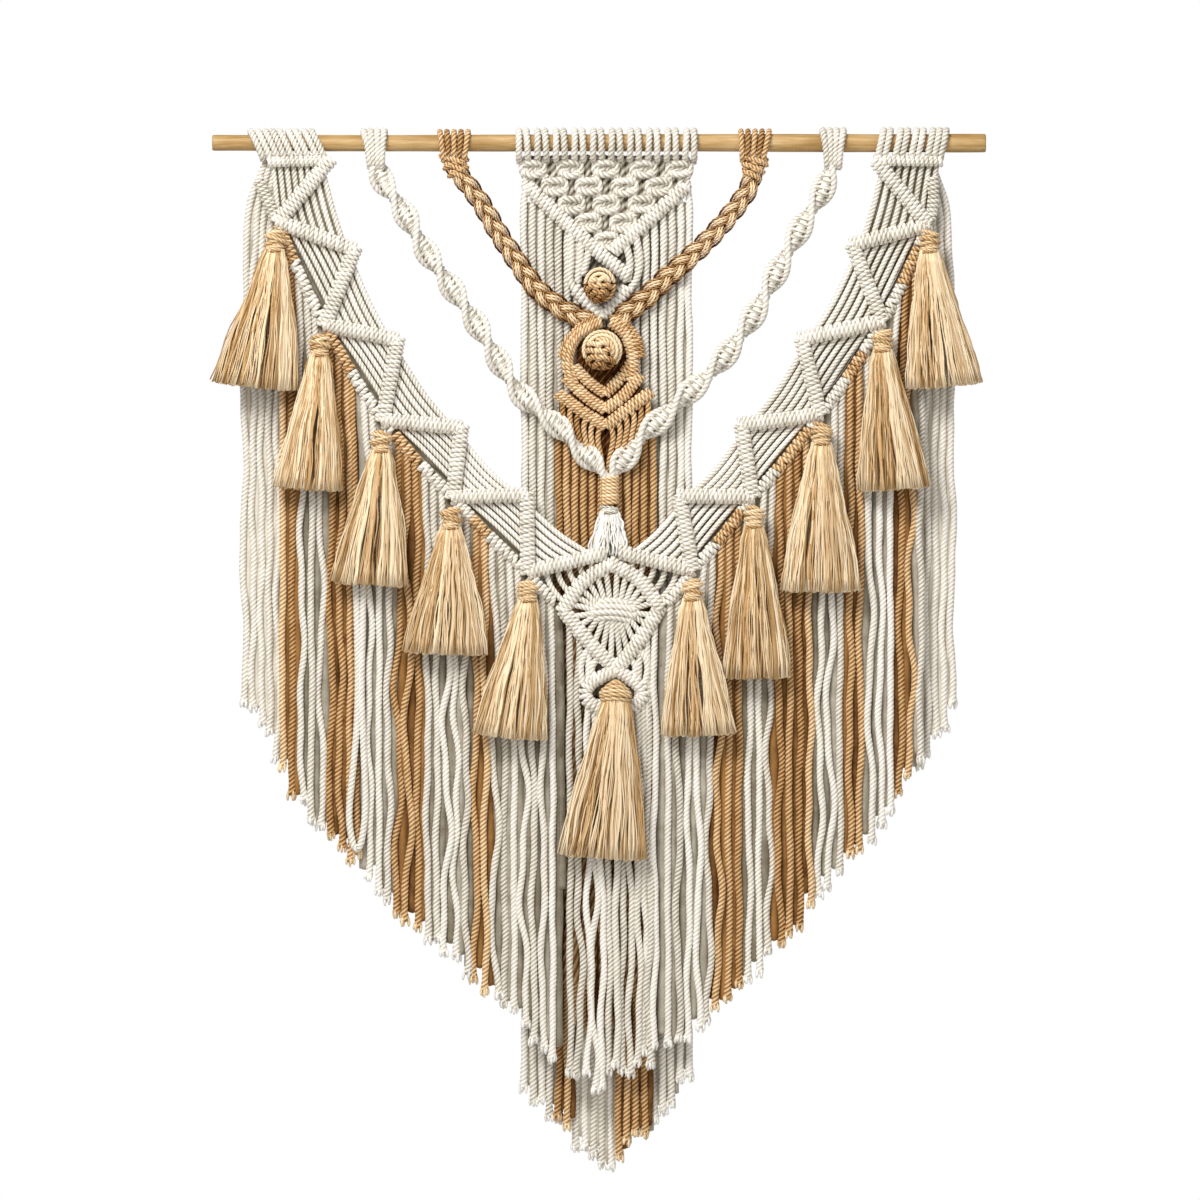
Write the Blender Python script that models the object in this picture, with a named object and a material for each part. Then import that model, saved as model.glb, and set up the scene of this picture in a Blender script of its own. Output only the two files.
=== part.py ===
"""Macrame wall hanging on a wooden rod.

Cotton cord, knotted on a plain wooden rod. The rod lies along X, the hanging falls along -Z, and -Y is the
front. The origin is on the rod's axis, over the middle of the hanging. Every size here is in millimetres.
"""

import math

import bmesh
import bpy
from mathutils import Vector

MM = 0.001

# The rod
ROD_LENGTH = 516.0
ROD_CENTRE_X = -5.3
ROD_RADIUS_LEFT = 5.3
ROD_RADIUS_RIGHT = 6.2
ROD_SIDES = 24
ROD_CLEARANCE = 0.35

# The cord, and the knots tied with it
CORD = 5.0
STRAND_WIDTH = 4.3
STRAND_DEPTH = 4.4
STRAND_PITCH = 5.6
SPREAD_FALL = 75.0
CLEARANCE = 0.4
LOOP_THICKNESS = 4.2
LOOP_SIDES = 8
BAR_HALF = 3.3
BAR_DEEP = 3.0
BAR_STRANDS = 7
STRIP_HALF = 2.2
STRIP_DEEP = 2.3
VALLEY = 0.8
SHORTEST_STRAND = 2.5

# Depth of each layer's middle, front to back
PANEL_Y = 1.0
REAR_Y = 7.2
BROWN_Y = -5.0
SPIRAL_Y = -6.9
BAND_TOP_Y = -4.0
BAND_LOW_Y = -13.5
BAND_TOP_Z = -14.0
BAND_LOW_Z = -286.0
TASSEL_AHEAD = 12.0

# Corners of the zigzag bands, from the rod to the middle: distance out from the middle, and height
ZIGZAG_LEFT = (
    (224.7, -16.5), (185.0, -15.5), (219.3, -52.7), (168.0, -71.3), (188.0, -121.3), (139.3, -131.3),
    (149.3, -184.7), (96.7, -190.0), (102.7, -236.0), (53.3, -234.7), (52.7, -286.0), (2.6, -273.6),
)
ZIGZAG_RIGHT = (
    (222.0, -16.0), (179.0, -15.5), (214.0, -54.7), (163.3, -68.0), (183.3, -119.3), (129.3, -130.7),
    (142.0, -181.3), (89.3, -188.0), (96.7, -236.0), (48.0, -235.3), (56.7, -284.7), (9.2, -272.8),
)
BAND_LOOPS_LEFT = (240.0, 191.3)
BAND_LOOPS_RIGHT = (228.3, 180.7)

# Fringe groups: name, zigzag corner that the strip starts at, first strand (distance out from the middle),
# number of strands, colour
FRINGE_LEFT = (
    ("1_brown", 2, 216.9, 2, "brown"),
    ("1_cream", 2, 205.7, 3, "cream"),
    ("2_brown", 4, 184.5, 3, "brown"),
    ("2_cream", 4, 167.7, 3, "cream"),
    ("3_outer", 6, 145.3, 1, "cream"),
    ("3_brown", 6, 139.0, 3, "brown"),
    ("3_cream", 6, 121.3, 3, "cream"),
    ("4_outer", 8, 98.6, 2, "cream"),
    ("4_brown", 8, 87.5, 2, "brown"),
    ("4_cream", 8, 76.2, 4, "cream"),
    ("5_cream", 10, 48.7, 3, "cream"),
)
FRINGE_RIGHT = (
    ("1_outer", 2, 210.9, 1, "cream"),
    ("1_brown", 2, 205.2, 2, "brown"),
    ("1_cream", 2, 193.9, 1, "cream"),
    ("2_outer", 4, 179.2, 2, "cream"),
    ("2_brown", 4, 168.0, 2, "brown"),
    ("2_cream", 4, 156.8, 2, "cream"),
    ("3_outer", 6, 138.3, 1, "cream"),
    ("3_brown", 6, 132.5, 4, "brown"),
    ("3_cream", 6, 110.0, 2, "cream"),
    ("4_outer", 8, 92.9, 1, "cream"),
    ("4_brown", 8, 87.2, 3, "brown"),
    ("4_cream", 8, 70.0, 2, "cream"),
    ("5_cream", 10, 53.3, 3, "cream"),
)
# Outermost and innermost strand at the hem, distance out from the middle
FRINGE_HEM_LEFT = (216.2, 36.2)
FRINGE_HEM_RIGHT = (209.0, 40.6)
# Outer cords: outermost strand at the rod and at the hem
OUTER_STRANDS = 5
OUTER_LEFT = (231.0, 241.8)
OUTER_RIGHT = (219.5, 230.0)

# Hem of the front fringe and of the rear panel: x, height
FRONT_HEM = (
    (-244.0, -366.0), (-223.0, -400.0), (-205.0, -441.0), (-171.0, -478.0), (-148.0, -500.0),
    (-111.0, -537.0), (-63.0, -579.0), (-33.0, -611.0), (-7.0, -627.0), (17.0, -616.0), (63.0, -586.0),
    (105.0, -547.0), (151.0, -489.0), (177.0, -464.0), (200.0, -429.0), (221.0, -390.0), (232.0, -376.0),
)
REAR_HEM = (
    (-58.0, -623.0), (-50.0, -638.0), (-30.0, -651.0), (-22.7, -665.0), (-7.3, -677.0), (-1.3, -685.0),
    (9.3, -673.0), (18.7, -661.0), (34.0, -651.0), (42.0, -638.0), (53.0, -623.0), (58.0, -618.0),
)

# Tassels: name, head x, top, hem height, hem's left and right
TASSELS = (
    ("L1", -221.3, -57.5, -163.0, -262.7, -206.0),
    ("L2", -191.3, -127.0, -231.0, -222.0, -175.3),
    ("L3", -150.3, -191.0, -294.5, -184.0, -132.0),
    ("L4", -103.7, -242.0, -340.5, -136.7, -78.0),
    ("L5", -52.7, -290.5, -396.0, -88.7, -40.3),
    ("R1", 214.7, -58.0, -162.5, 198.7, 250.7),
    ("R2", 183.3, -124.0, -231.0, 166.0, 215.3),
    ("R3", 142.7, -186.0, -299.0, 115.3, 169.3),
    ("R4", 97.7, -241.0, -356.5, 77.3, 122.7),
    ("R5", 56.7, -289.5, -394.5, 36.0, 86.0),
    ("centre", 5.7, -357.0, -476.0, -32.7, 25.3),
)
LOCKS = 8
LOCK_GAP_DEG = 7.0

# Routes of the braids and the spirals: x, height
BRAID_LEFT = (
    (-103.5, -13.0), (-96.0, -24.0), (-84.7, -39.0), (-72.0, -60.7), (-59.3, -80.0), (-46.7, -97.5),
    (-31.0, -112.5), (-18.5, -120.5),
)
BRAID_RIGHT = (
    (97.5, -13.0), (95.3, -28.0), (86.0, -43.0), (68.7, -63.3), (53.3, -78.0), (38.0, -91.5),
    (24.0, -106.0), (14.0, -116.5),
)
BRAID_HALF = 5.8
BRAID_DEEP = 3.8
PLAIT = 6.4
SPIRAL_LEFT = (
    (-154.0, -13.0), (-148.7, -27.0), (-137.3, -43.0), (-120.7, -72.0), (-105.3, -94.0), (-88.7, -118.0),
    (-74.7, -141.3), (-60.3, -164.3), (-45.3, -178.7), (-31.3, -190.0), (-18.0, -204.3), (-5.0, -219.8),
)
SPIRAL_RIGHT = (
    (150.7, -13.0), (143.3, -32.7), (130.7, -54.0), (118.0, -77.3), (108.0, -96.0), (96.7, -116.7),
    (80.7, -139.7), (68.7, -153.7), (52.7, -168.3), (38.0, -182.3), (25.3, -193.3), (7.6, -219.8),
)
SPIRAL_HALF = 7.6
SPIRAL_THIN = 3.6
SPIRAL_FLAT = 0.6
SPIRAL_LOBE = 29.0
SPIRAL_STEP = 5.0

# Centre panel
PANEL_LOOPS = 10
PANEL_LOOP_PITCH = 12.43
PANEL_HALF_WIDTH = 61.3
PANEL_TAPER = 0.93
PANEL_TOP = -12.4
V_APEX_X = 8.0
V_APEX_Z = -81.0
V_END_Z = -33.0
KNOT_ROW = 10.6
SMALL_V = ((-23.5, -97.5), (-2.7, -117.5), (17.5, -96.0))

# Brown diamond
DIAMOND_X = -1.0
DIAMOND_HALF = 28.5
DIAMOND_TOP = -120.5
DIAMOND_SHOULDER = 20.0
CHEVRON_RISE = 17.4
CHEVRONS = (-165.0, -168.0, -171.5, -174.0, -177.0, -180.5, -185.0)
BROWN_STRANDS = 12
BROWN_PITCH = 5.75
BROWN_SHORT_Z = -590.0
BROWN_LONG = (0, 1, 7, 8, 9, 10)

# Centre diamond: top, left, bottom, right, and the bundle knot in the middle
DIAMOND_CORNERS = ((4.0, -281.5), (-29.3, -311.3), (7.3, -353.5), (35.3, -310.0))
BUNDLE = (3.3, -312.7)
BUNDLE_HALF_WIDTH = 13.0
BUNDLE_HALF_HEIGHT = 5.5
DIAMOND_STRANDS = 4
LOWER_V = ((-18.0, -380.0), (7.3, -365.5), (32.0, -382.0))

COLOURS = {
    "cream": (0.83, 0.77, 0.67),
    "brown": (0.43, 0.21, 0.08),
    "gold": (0.67, 0.43, 0.20),
    "wood": (0.67, 0.47, 0.22),
}


# ---------------------------------------------------------------- helpers
def material(colour):
    found = bpy.data.materials.get(colour)
    if found:
        return found
    made = bpy.data.materials.new(colour)
    made.use_nodes = True
    shader = made.node_tree.nodes["Principled BSDF"]
    shader.inputs["Base Color"].default_value = (*COLOURS[colour], 1.0)
    shader.inputs["Roughness"].default_value = 0.55 if colour == "wood" else 0.9
    shader.inputs["Metallic"].default_value = 0.0
    return made


def add_solid(name, bm, colour, flip=1):
    """Writes the mesh as an object. flip is -1 for a piece that was laid out as its mirror image."""
    for vert in bm.verts:
        vert.co = Vector((flip * vert.co.x, vert.co.y, vert.co.z)) * MM
    bmesh.ops.recalc_face_normals(bm, faces=bm.faces)
    mesh = bpy.data.meshes.new(name)
    bm.to_mesh(mesh)
    bm.free()
    mesh.materials.append(material(colour))
    solid = bpy.data.objects.new(name, mesh)
    hanging.objects.link(solid)
    return solid


def add_ring(bm, points):
    return [bm.verts.new(point) for point in points]


def skin(bm, first, second, skip=()):
    """Joins two rings side by side, except for the sides in skip."""
    for side in range(len(first)):
        if side not in skip:
            after = (side + 1) % len(first)
            bm.faces.new((first[side], first[after], second[after], second[side]))


def between(table, x):
    """Height at x along a table of (x, height) that runs from low x to high x."""
    x = min(max(x, table[0][0]), table[-1][0])
    for (x0, z0), (x1, z1) in zip(table, table[1:]):
        if x <= x1:
            return z0 + (z1 - z0) * (x - x0) / (x1 - x0)
    return table[-1][1]


def rod_radius(x):
    share = (x - ROD_CENTRE_X) / ROD_LENGTH + 0.5
    return ROD_RADIUS_LEFT + (ROD_RADIUS_RIGHT - ROD_RADIUS_LEFT) * share


def band_y(z):
    """The bands lie on the rod at the top and stand forward over the centre panel lower down."""
    share = (BAND_TOP_Z - z) / (BAND_TOP_Z - BAND_LOW_Z)
    return BAND_TOP_Y + (BAND_LOW_Y - BAND_TOP_Y) * min(max(share, 0.0), 1.0)


def uneven(x, most):
    """A small repeatable unevenness for handmade cord."""
    return most * math.sin(1.31 * x) * math.cos(0.37 * x + 1.0)


# ---------------------------------------------------------------- strands and bars
# A bar's ring holds four corners: plus side front and back, minus side back and front.
# Plus is to the left of the direction of travel, so it is the upper side of a bar laid to the right.
PLUS, MINUS = 0, 2


def bar_ring(bm, centre, across, half, deep, plus=1.0, minus=1.0):
    x, y, z = centre
    ax, az = across
    return add_ring(bm, [
        (x + ax * half * plus, y - deep, z + az * half * plus),
        (x + ax * half * plus, y + deep, z + az * half * plus),
        (x - ax * half * minus, y + deep, z - az * half * minus),
        (x - ax * half * minus, y - deep, z - az * half * minus),
    ])


def socket(rings, cell, side):
    """The four corners on one side of a cell, where a strand leaves the bar."""
    first, second = rings[cell], rings[cell + 1]
    front, back = (0, 1) if side == PLUS else (3, 2)
    return [first[front], first[back], second[back], second[front]]


def turned(sock):
    """The same socket read from its other end."""
    return [sock[3], sock[2], sock[1], sock[0]]


def middle(sock):
    return sum((vert.co for vert in sock), Vector()) / 4


def unit(start, end):
    dx, dz = end[0] - start[0], end[1] - start[1]
    length = math.hypot(dx, dz)
    return dx / length, dz / length, length


def corner_turn(before, at, after):
    """Half the turn at a corner, and 1 where the path turns towards its plus side, else -1."""
    ax, az, _ = unit(before, at)
    bx, bz, _ = unit(at, after)
    cross = ax * bz - az * bx
    return math.atan2(abs(cross), ax * bx + az * bz) / 2, 1 if cross > 0 else -1


def lay_path(bm, corners, strands, half, deep, depth, closed=False):
    """Rings along a bar that turns at its corners. cells[leg, strand] is the ring where a socket starts."""
    rings, cells = [], {}
    count = len(corners)
    last = count if closed else count - 1

    def neighbours(index):
        if closed:
            return corners[index - 1], corners[index % count], corners[(index + 1) % count]
        if 0 < index < count - 1:
            return corners[index - 1], corners[index], corners[index + 1]
        return None

    def reach(index):
        around = neighbours(index)
        return half * math.tan(corner_turn(*around)[0]) + 1.2 if around else 1.0

    def place(index):
        around = neighbours(index)
        x, z = corners[index % count]
        if not around:
            ends = corners[:2] if index == 0 else corners[-2:]
            dx, dz, _ = unit(*ends)
            return bar_ring(bm, (x, depth(z), z), (-dz, dx), half * VALLEY, deep * VALLEY)
        before, at, after = around
        turn, hand = corner_turn(before, at, after)
        ax, az, _ = unit(before, at)
        bx, bz, _ = unit(at, after)
        nx, nz = -(az + bz), ax + bx
        size = math.hypot(nx, nz)
        inner = 1 / math.cos(turn)
        outer = min(inner, 1.15)
        plus, minus = (inner, outer) if hand > 0 else (outer, inner)
        return bar_ring(bm, (x, depth(z), z), (nx / size, nz / size), half, deep, plus, minus)

    for leg in range(last):
        start, end = corners[leg], corners[(leg + 1) % count]
        dx, dz, length = unit(start, end)
        lead, trail = reach(leg), reach(leg + 1)
        pitch = (length - lead - trail) / strands[leg]
        rings.append(place(leg))
        for strand in range(strands[leg]):
            cells[leg, strand] = len(rings)
            for share, size in ((0.12, 1.0), (0.86, VALLEY)):
                run = lead + (strand + share) * pitch
                x, z = start[0] + dx * run, start[1] + dz * run
                rings.append(bar_ring(bm, (x, depth(z), z), (-dz, dx), half * size, deep * size))
    if not closed:
        rings.append(place(count - 1))
    return rings, cells


def close_path(bm, rings, open_sides, closed=False):
    """Skins the bar, leaving the sockets in open_sides open, and caps its ends."""
    for index, ring in enumerate(rings):
        if index + 1 == len(rings):
            if closed:
                skin(bm, ring, rings[0])
            break
        skin(bm, ring, rings[index + 1], [side for cell, side in open_sides if cell == index])
    if not closed:
        bm.faces.new(rings[0])
        bm.faces.new(rings[-1])


def hang(bm, root, stops, width=STRAND_WIDTH, deep=STRAND_DEPTH):
    """Carries a strand on from its root through the (x, y, z) middles in stops, and ends it."""
    ring = root
    for x, y, z in stops:
        lower = add_ring(bm, [
            (x - width / 2, y - deep / 2, z), (x - width / 2, y + deep / 2, z),
            (x + width / 2, y + deep / 2, z), (x + width / 2, y - deep / 2, z),
        ])
        skin(bm, ring, lower)
        ring = lower
    bm.faces.new(ring)


def rod_loops(bm, tops, feet):
    """Cord round the rod: a ridge for each (start, end) in tops, with its foot under the rod at feet."""
    widest = max(abs(x) for span in tops for x in span)
    inner_radius = (rod_radius(widest) + ROD_CLEARANCE) / math.cos(math.pi / LOOP_SIDES)
    outer_radius = inner_radius + LOOP_THICKNESS

    def around(top, foot, radius):
        points = []
        for side in range(LOOP_SIDES):
            angle = math.radians(-112.5 + side * 360 / LOOP_SIDES)
            lean = (1 - math.sin(angle)) / 2
            points.append((top + (foot - top) * lean, radius * math.cos(angle), radius * math.sin(angle)))
        return add_ring(bm, points)

    rings = []
    for (top_start, top_end), (foot_start, foot_end) in zip(tops, feet):
        rings.append(around(top_start, foot_start, outer_radius))
        rings.append(around(top_end, foot_end, outer_radius - 0.9))
    bore = [around(tops[0][0], feet[0][0], inner_radius), around(tops[-1][1], feet[-1][1], inner_radius)]
    skin(bm, bore[0], bore[1])
    skin(bm, bore[0], rings[0])
    skin(bm, bore[1], rings[-1])
    return rings


def foot_socket(rings, cell):
    """The underside of one ridge of cord on the rod."""
    first, second = rings[cell], rings[cell + 1]
    return [first[0], first[1], second[1], second[0]]


# ---------------------------------------------------------------- rod
def rod():
    bm = bmesh.new()
    bmesh.ops.create_cone(
        bm, cap_ends=True, segments=ROD_SIDES, radius1=ROD_RADIUS_LEFT, radius2=ROD_RADIUS_RIGHT,
        depth=ROD_LENGTH,
    )
    for vert in bm.verts:
        vert.co = Vector((vert.co.z + ROD_CENTRE_X, vert.co.y, -vert.co.x))
    add_solid("rod", bm, "wood")


# ---------------------------------------------------------------- zigzag bands
def band(name, outward, loops, flip):
    """Half-hitch bars that run to and fro, with the same cords passing from bar to bar."""
    bm = bmesh.new()
    corners = [(-x, z) for x, z in outward]
    legs = len(corners) - 1
    rings, cells = lay_path(bm, corners, [BAR_STRANDS] * legs, BAR_HALF, BAR_DEEP, band_y)
    open_sides, strands = [], []
    for leg in range(legs - 1):
        side = MINUS if leg % 2 == 0 else PLUS
        for strand in range(BAR_STRANDS):
            here = cells[leg, strand]
            there = cells[leg + 1, BAR_STRANDS - 1 - strand]
            upper, lower = socket(rings, here, side), turned(socket(rings, there, side))
            if (middle(upper) - middle(lower)).length > SHORTEST_STRAND:
                open_sides += [(here, side), (there, side)]
                strands.append((upper, lower))
    tops, feet = [], []
    start, end = (-x for x in loops)
    ridge = (end - start) / BAR_STRANDS
    for strand in range(BAR_STRANDS):
        heading = socket(rings, cells[0, strand], PLUS)
        tops.append((start + (strand + 0.06) * ridge, start + (strand + 0.9) * ridge))
        feet.append((heading[0].co.x, heading[2].co.x))
    on_rod = rod_loops(bm, tops, feet)
    for index in range(len(on_rod) - 1):
        skin(bm, on_rod[index], on_rod[index + 1], [0] if index % 2 == 0 else [])
    for strand in range(BAR_STRANDS):
        cell = cells[0, strand]
        open_sides.append((cell, PLUS))
        skin(bm, foot_socket(on_rod, 2 * strand), socket(rings, cell, PLUS))
    close_path(bm, rings, open_sides)
    for upper, lower in strands:
        skin(bm, upper, lower)
    add_solid(name, bm, "cream", flip)


# ---------------------------------------------------------------- fringe
def edge_curve(start, end):
    """The line that a fringe strip follows from one point of the zigzag to the next, sagging outwards."""
    dx, dz, length = unit(start, end)

    def at(x):
        share = (x - start[0]) / (end[0] - start[0])
        out = 2.6 + 3.0 * math.sin(math.pi * min(max(share, 0.0), 1.0))
        return start[1] + (end[1] - start[1]) * share - out / max(dx, 0.35)

    return at


def fringe(name, corners, row, hems, flip):
    """One strip and its strands. hems is how far out each of its strands ends."""
    group, corner, first, count, colour = row
    start = corners[corner]
    end = corners[corner + 2] if corner + 2 < len(corners) - 1 else (-29.3 if flip > 0 else -35.3, -311.0)
    curve = edge_curve(start, end)
    bm = bmesh.new()
    rings = []
    stations = []
    for strand in range(count):
        x = -first + strand * STRAND_PITCH
        stations += [(x - STRAND_WIDTH / 2, 1.0), (x + STRAND_WIDTH / 2, VALLEY)]
    for x, size in stations:
        z = curve(x)
        slope = (curve(x + 0.5) - curve(x - 0.5))
        length = math.hypot(1.0, slope)
        across = (-slope / length, 1 / length)
        rings.append(bar_ring(bm, (x, band_y(z), z), across, STRIP_HALF * size, STRIP_DEEP * size))
    close_path(bm, rings, [(2 * strand, MINUS) for strand in range(count)])
    for strand in range(count):
        root = socket(rings, 2 * strand, MINUS)
        point = middle(root)
        x = -hems[strand]
        hem = between(FRONT_HEM, flip * x) + uneven(x, 5.0)
        low = min(vert.co.z for vert in root)
        stops = [(point.x, point.y, low - 4.0), (x, point.y, low - SPREAD_FALL), (x, point.y, hem)]
        hang(bm, root, stops)
    add_solid(name, bm, colour, flip)


def outer_fringe(name, places, flip):
    """Cords that leave the loops on the rod and spread out behind the top of the band."""
    first_x, hem_x = places
    bm = bmesh.new()
    rings = []
    for strand in range(OUTER_STRANDS):
        x = -first_x + strand * STRAND_PITCH
        for edge, size in ((-STRAND_WIDTH / 2, 1.0), (STRAND_WIDTH / 2, VALLEY)):
            centre = (x + edge, PANEL_Y + 2.4, PANEL_TOP - 3.2)
            rings.append(bar_ring(bm, centre, (0, 1), 1.6 * size, STRIP_DEEP * size))
    close_path(bm, rings, [(2 * strand, MINUS) for strand in range(OUTER_STRANDS)])
    for strand in range(OUTER_STRANDS):
        root = socket(rings, 2 * strand, MINUS)
        x = -hem_x + strand * STRAND_PITCH
        hem = between(FRONT_HEM, flip * x) + uneven(x, 5.0)
        point = middle(root)
        stops = [
            ((2 * point.x + x) / 3, point.y, point.z - 22.0),
            (x - 1.0, point.y, point.z - 62.0),
            (x, point.y, (point.z + hem) / 2),
            (x, point.y, hem),
        ]
        hang(bm, root, stops)
    add_solid(name, bm, "cream", flip)


# ---------------------------------------------------------------- tassels
def tassel(name, head_x, top, hem, left, right, y, hem_deep, colour, head_half=5.4, neck=10.0):
    """A cap, a wrapped neck and a skirt whose locks part below its shoulder."""
    bm = bmesh.new()
    hem_x, hem_half = (left + right) / 2, (right - left) / 2
    shoulder_z = top - neck - (top - neck - hem) * 0.16

    def ellipse(x, z, half, deep, inwards=1.0):
        points = []
        for lock in range(LOCKS):
            for edge in (LOCK_GAP_DEG / 2, 360 / LOCKS - LOCK_GAP_DEG / 2):
                angle = math.radians(-90 - 180 / LOCKS + lock * 360 / LOCKS + edge)
                points.append((x + half * inwards * math.cos(angle), y + deep * inwards * math.sin(angle), z))
        return add_ring(bm, points)

    shoulder_x = head_x + (hem_x - head_x) * 0.2
    profile = (
        (head_x, top, head_half * 0.6, head_half * 0.5),
        (head_x, top - neck * 0.4, head_half, head_half * 0.85),
        (head_x, top - neck, head_half * 0.85, head_half * 0.75),
        (shoulder_x, shoulder_z, hem_half * 0.42, min(hem_deep * 0.85, hem_half * 0.4)),
    )
    rings = [ellipse(*row) for row in profile]
    bm.faces.new(rings[0])
    for upper, lower in zip(rings, rings[1:]):
        skin(bm, upper, lower)
    x, z, half, deep = profile[-1]
    core = ellipse(x, z, half, deep, 0.5)
    skin(bm, rings[-1], core, range(0, 2 * LOCKS, 2))
    bm.faces.new(core)
    outer_hem = ellipse(hem_x, hem, hem_half, hem_deep)
    inner_hem = ellipse(hem_x, hem, hem_half, hem_deep, 0.6)
    for lock in range(LOCKS):
        a, b = 2 * lock, 2 * lock + 1
        root = [rings[-1][a], rings[-1][b], core[b], core[a]]
        tip = [outer_hem[a], outer_hem[b], inner_hem[b], inner_hem[a]]
        for vert in tip:
            vert.co.z += uneven(head_x + 5.0 * lock, 1.5)
        skin(bm, root, tip)
        bm.faces.new(tip)
    add_solid(name, bm, colour)


# ---------------------------------------------------------------- braids and spirals
def smooth(points, step):
    """Evenly spaced points on a smooth curve through the given ones, and the way it runs at each."""
    knots = [2 * Vector(points[0]) - Vector(points[1]), *map(Vector, points)]
    knots.append(2 * knots[-1] - knots[-2])
    fine = []
    for p0, p1, p2, p3 in zip(knots, knots[1:], knots[2:], knots[3:]):
        for part in range(20):
            t = part / 20
            fine.append(0.5 * (
                2 * p1 + (p2 - p0) * t + (2 * p0 - 5 * p1 + 4 * p2 - p3) * t * t
                + (3 * p1 - p0 - 3 * p2 + p3) * t * t * t
            ))
    fine.append(knots[-2])
    length = sum((b - a).length for a, b in zip(fine, fine[1:]))
    count = max(2, round(length / step))
    spaced, run, target = [], 0.0, 0.0
    for a, b in zip(fine, fine[1:]):
        gap = (b - a).length
        while gap and target <= run + gap + 1e-6 and len(spaced) < count:
            spaced.append((a + (b - a) * ((target - run) / gap), (b - a).normalized()))
            target += length / count
        run += gap
    spaced.append((fine[-1], (fine[-1] - fine[-2]).normalized()))
    return spaced


def join_to_rod(bm, centre_x, width, legs, foot_half, first_ring):
    """Loops of cord on the rod whose feet gather into the first ring of a braid or a spiral."""
    ridge = width / legs
    foot_ridge = 2 * foot_half / legs
    foot_x = sum(vert.co.x for vert in first_ring) / len(first_ring)
    tops, feet = [], []
    for leg in range(legs):
        top = centre_x - width / 2 + leg * ridge
        foot = foot_x - foot_half + leg * foot_ridge
        tops.append((top + 0.06 * ridge, top + 0.9 * ridge))
        feet.append((foot + 0.06 * foot_ridge, foot + 0.9 * foot_ridge))
    rings = rod_loops(bm, tops, feet)
    for first, second in zip(rings, rings[1:]):
        skin(bm, first, second, [0])
    rim = [ring[0] for ring in rings] + [ring[1] for ring in reversed(rings)]
    edges = [bm.edges.get((a, b)) or bm.edges.new((a, b)) for a, b in zip(rim, rim[1:] + rim[:1])]
    edges += [
        bm.edges.get((a, b)) or bm.edges.new((a, b))
        for a, b in zip(first_ring, first_ring[1:] + first_ring[:1])
    ]
    bmesh.ops.bridge_loops(bm, edges=edges)


def braid(name, route, loops_x):
    bm = bmesh.new()
    rings = []
    for index, (point, way) in enumerate(smooth(route, PLAIT / 2)):
        x, z = point
        ease = min(1.0, index / 6)
        y = BROWN_Y * ease - 0.8
        odd = index % 2
        left = BRAID_HALF + (0.0 if odd else 0.7)
        right = BRAID_HALF + (0.7 if odd else 0.0)
        across = Vector((-way[1], way[0]))
        rings.append(add_ring(bm, [
            (x + across.x * right, y, z + across.y * right),
            (x + across.x * right * 0.45, y - BRAID_DEEP - (0.9 if odd else -0.3), z + across.y * right * 0.45),
            (x - across.x * left * 0.45, y - BRAID_DEEP - (-0.3 if odd else 0.9), z - across.y * left * 0.45),
            (x - across.x * left, y, z - across.y * left),
            (x - across.x * left * 0.5, y + BRAID_DEEP * 0.8, z - across.y * left * 0.5),
            (x + across.x * right * 0.5, y + BRAID_DEEP * 0.8, z + across.y * right * 0.5),
        ]))
    for first, second in zip(rings, rings[1:]):
        skin(bm, first, second)
    bm.faces.new(rings[-1])
    join_to_rod(bm, loops_x, 23.0, 6, 6.2, rings[0])
    add_solid(name, bm, "brown")


def spiral(name, route, loops_x, hand):
    """Half-knot sinnet: a flat section that turns half round in each lobe."""
    bm = bmesh.new()
    rings = []
    run = 0.0
    for index, (point, way) in enumerate(smooth(route, SPIRAL_STEP)):
        x, z = point
        y = -0.8 + (SPIRAL_Y + 0.8) * min(1.0, index / 8)
        angle = hand * math.pi * run / SPIRAL_LOBE
        across = Vector((-way[1], way[0]))
        ridge = 1.0 if index % 2 else 0.9
        points = []
        for side, reach in enumerate((SPIRAL_HALF, SPIRAL_THIN, SPIRAL_HALF, SPIRAL_THIN)):
            turn = angle + side * math.pi / 2
            out, deep = reach * ridge * math.cos(turn), reach * ridge * math.sin(turn) * SPIRAL_FLAT
            points.append((x + across.x * out, y - deep, z + across.y * out))
        rings.append(add_ring(bm, points))
        run += SPIRAL_STEP
    for first, second in zip(rings, rings[1:]):
        skin(bm, first, second)
    bm.faces.new(rings[-1])
    join_to_rod(bm, loops_x, 18.5, 4, 7.0, rings[0])
    add_solid(name, bm, "cream")


# ---------------------------------------------------------------- relief plates
def relief(bm, columns, rows, front, back):
    """A plate whose front is raised point by point. columns is the number of stations across, and rows
    gives the (x, z) of each station in each row, top to bottom."""
    faces = [add_ring(bm, [(x, front(row, column, x, z), z) for column, (x, z) in enumerate(line)])
             for row, line in enumerate(rows)]
    rear = [add_ring(bm, [(x, back, z) for x, z in line]) for line in (rows[0], rows[-1])]
    for upper, lower in zip(faces, faces[1:]):
        for column in range(columns - 1):
            bm.faces.new((upper[column], upper[column + 1], lower[column + 1], lower[column]))
    for column in range(columns - 1):
        bm.faces.new((rear[0][column], rear[0][column + 1], rear[1][column + 1], rear[1][column]))
    for column in (0, columns - 1):
        bm.faces.new([line[column] for line in faces] + [rear[1][column], rear[0][column]])
    return faces, rear


def top_socket(faces, rear, column):
    return [faces[0][column], rear[0][column], rear[0][column + 1], faces[0][column + 1]]


def low_socket(faces, rear, column):
    return [faces[-1][column], rear[1][column], rear[1][column + 1], faces[-1][column + 1]]


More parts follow.
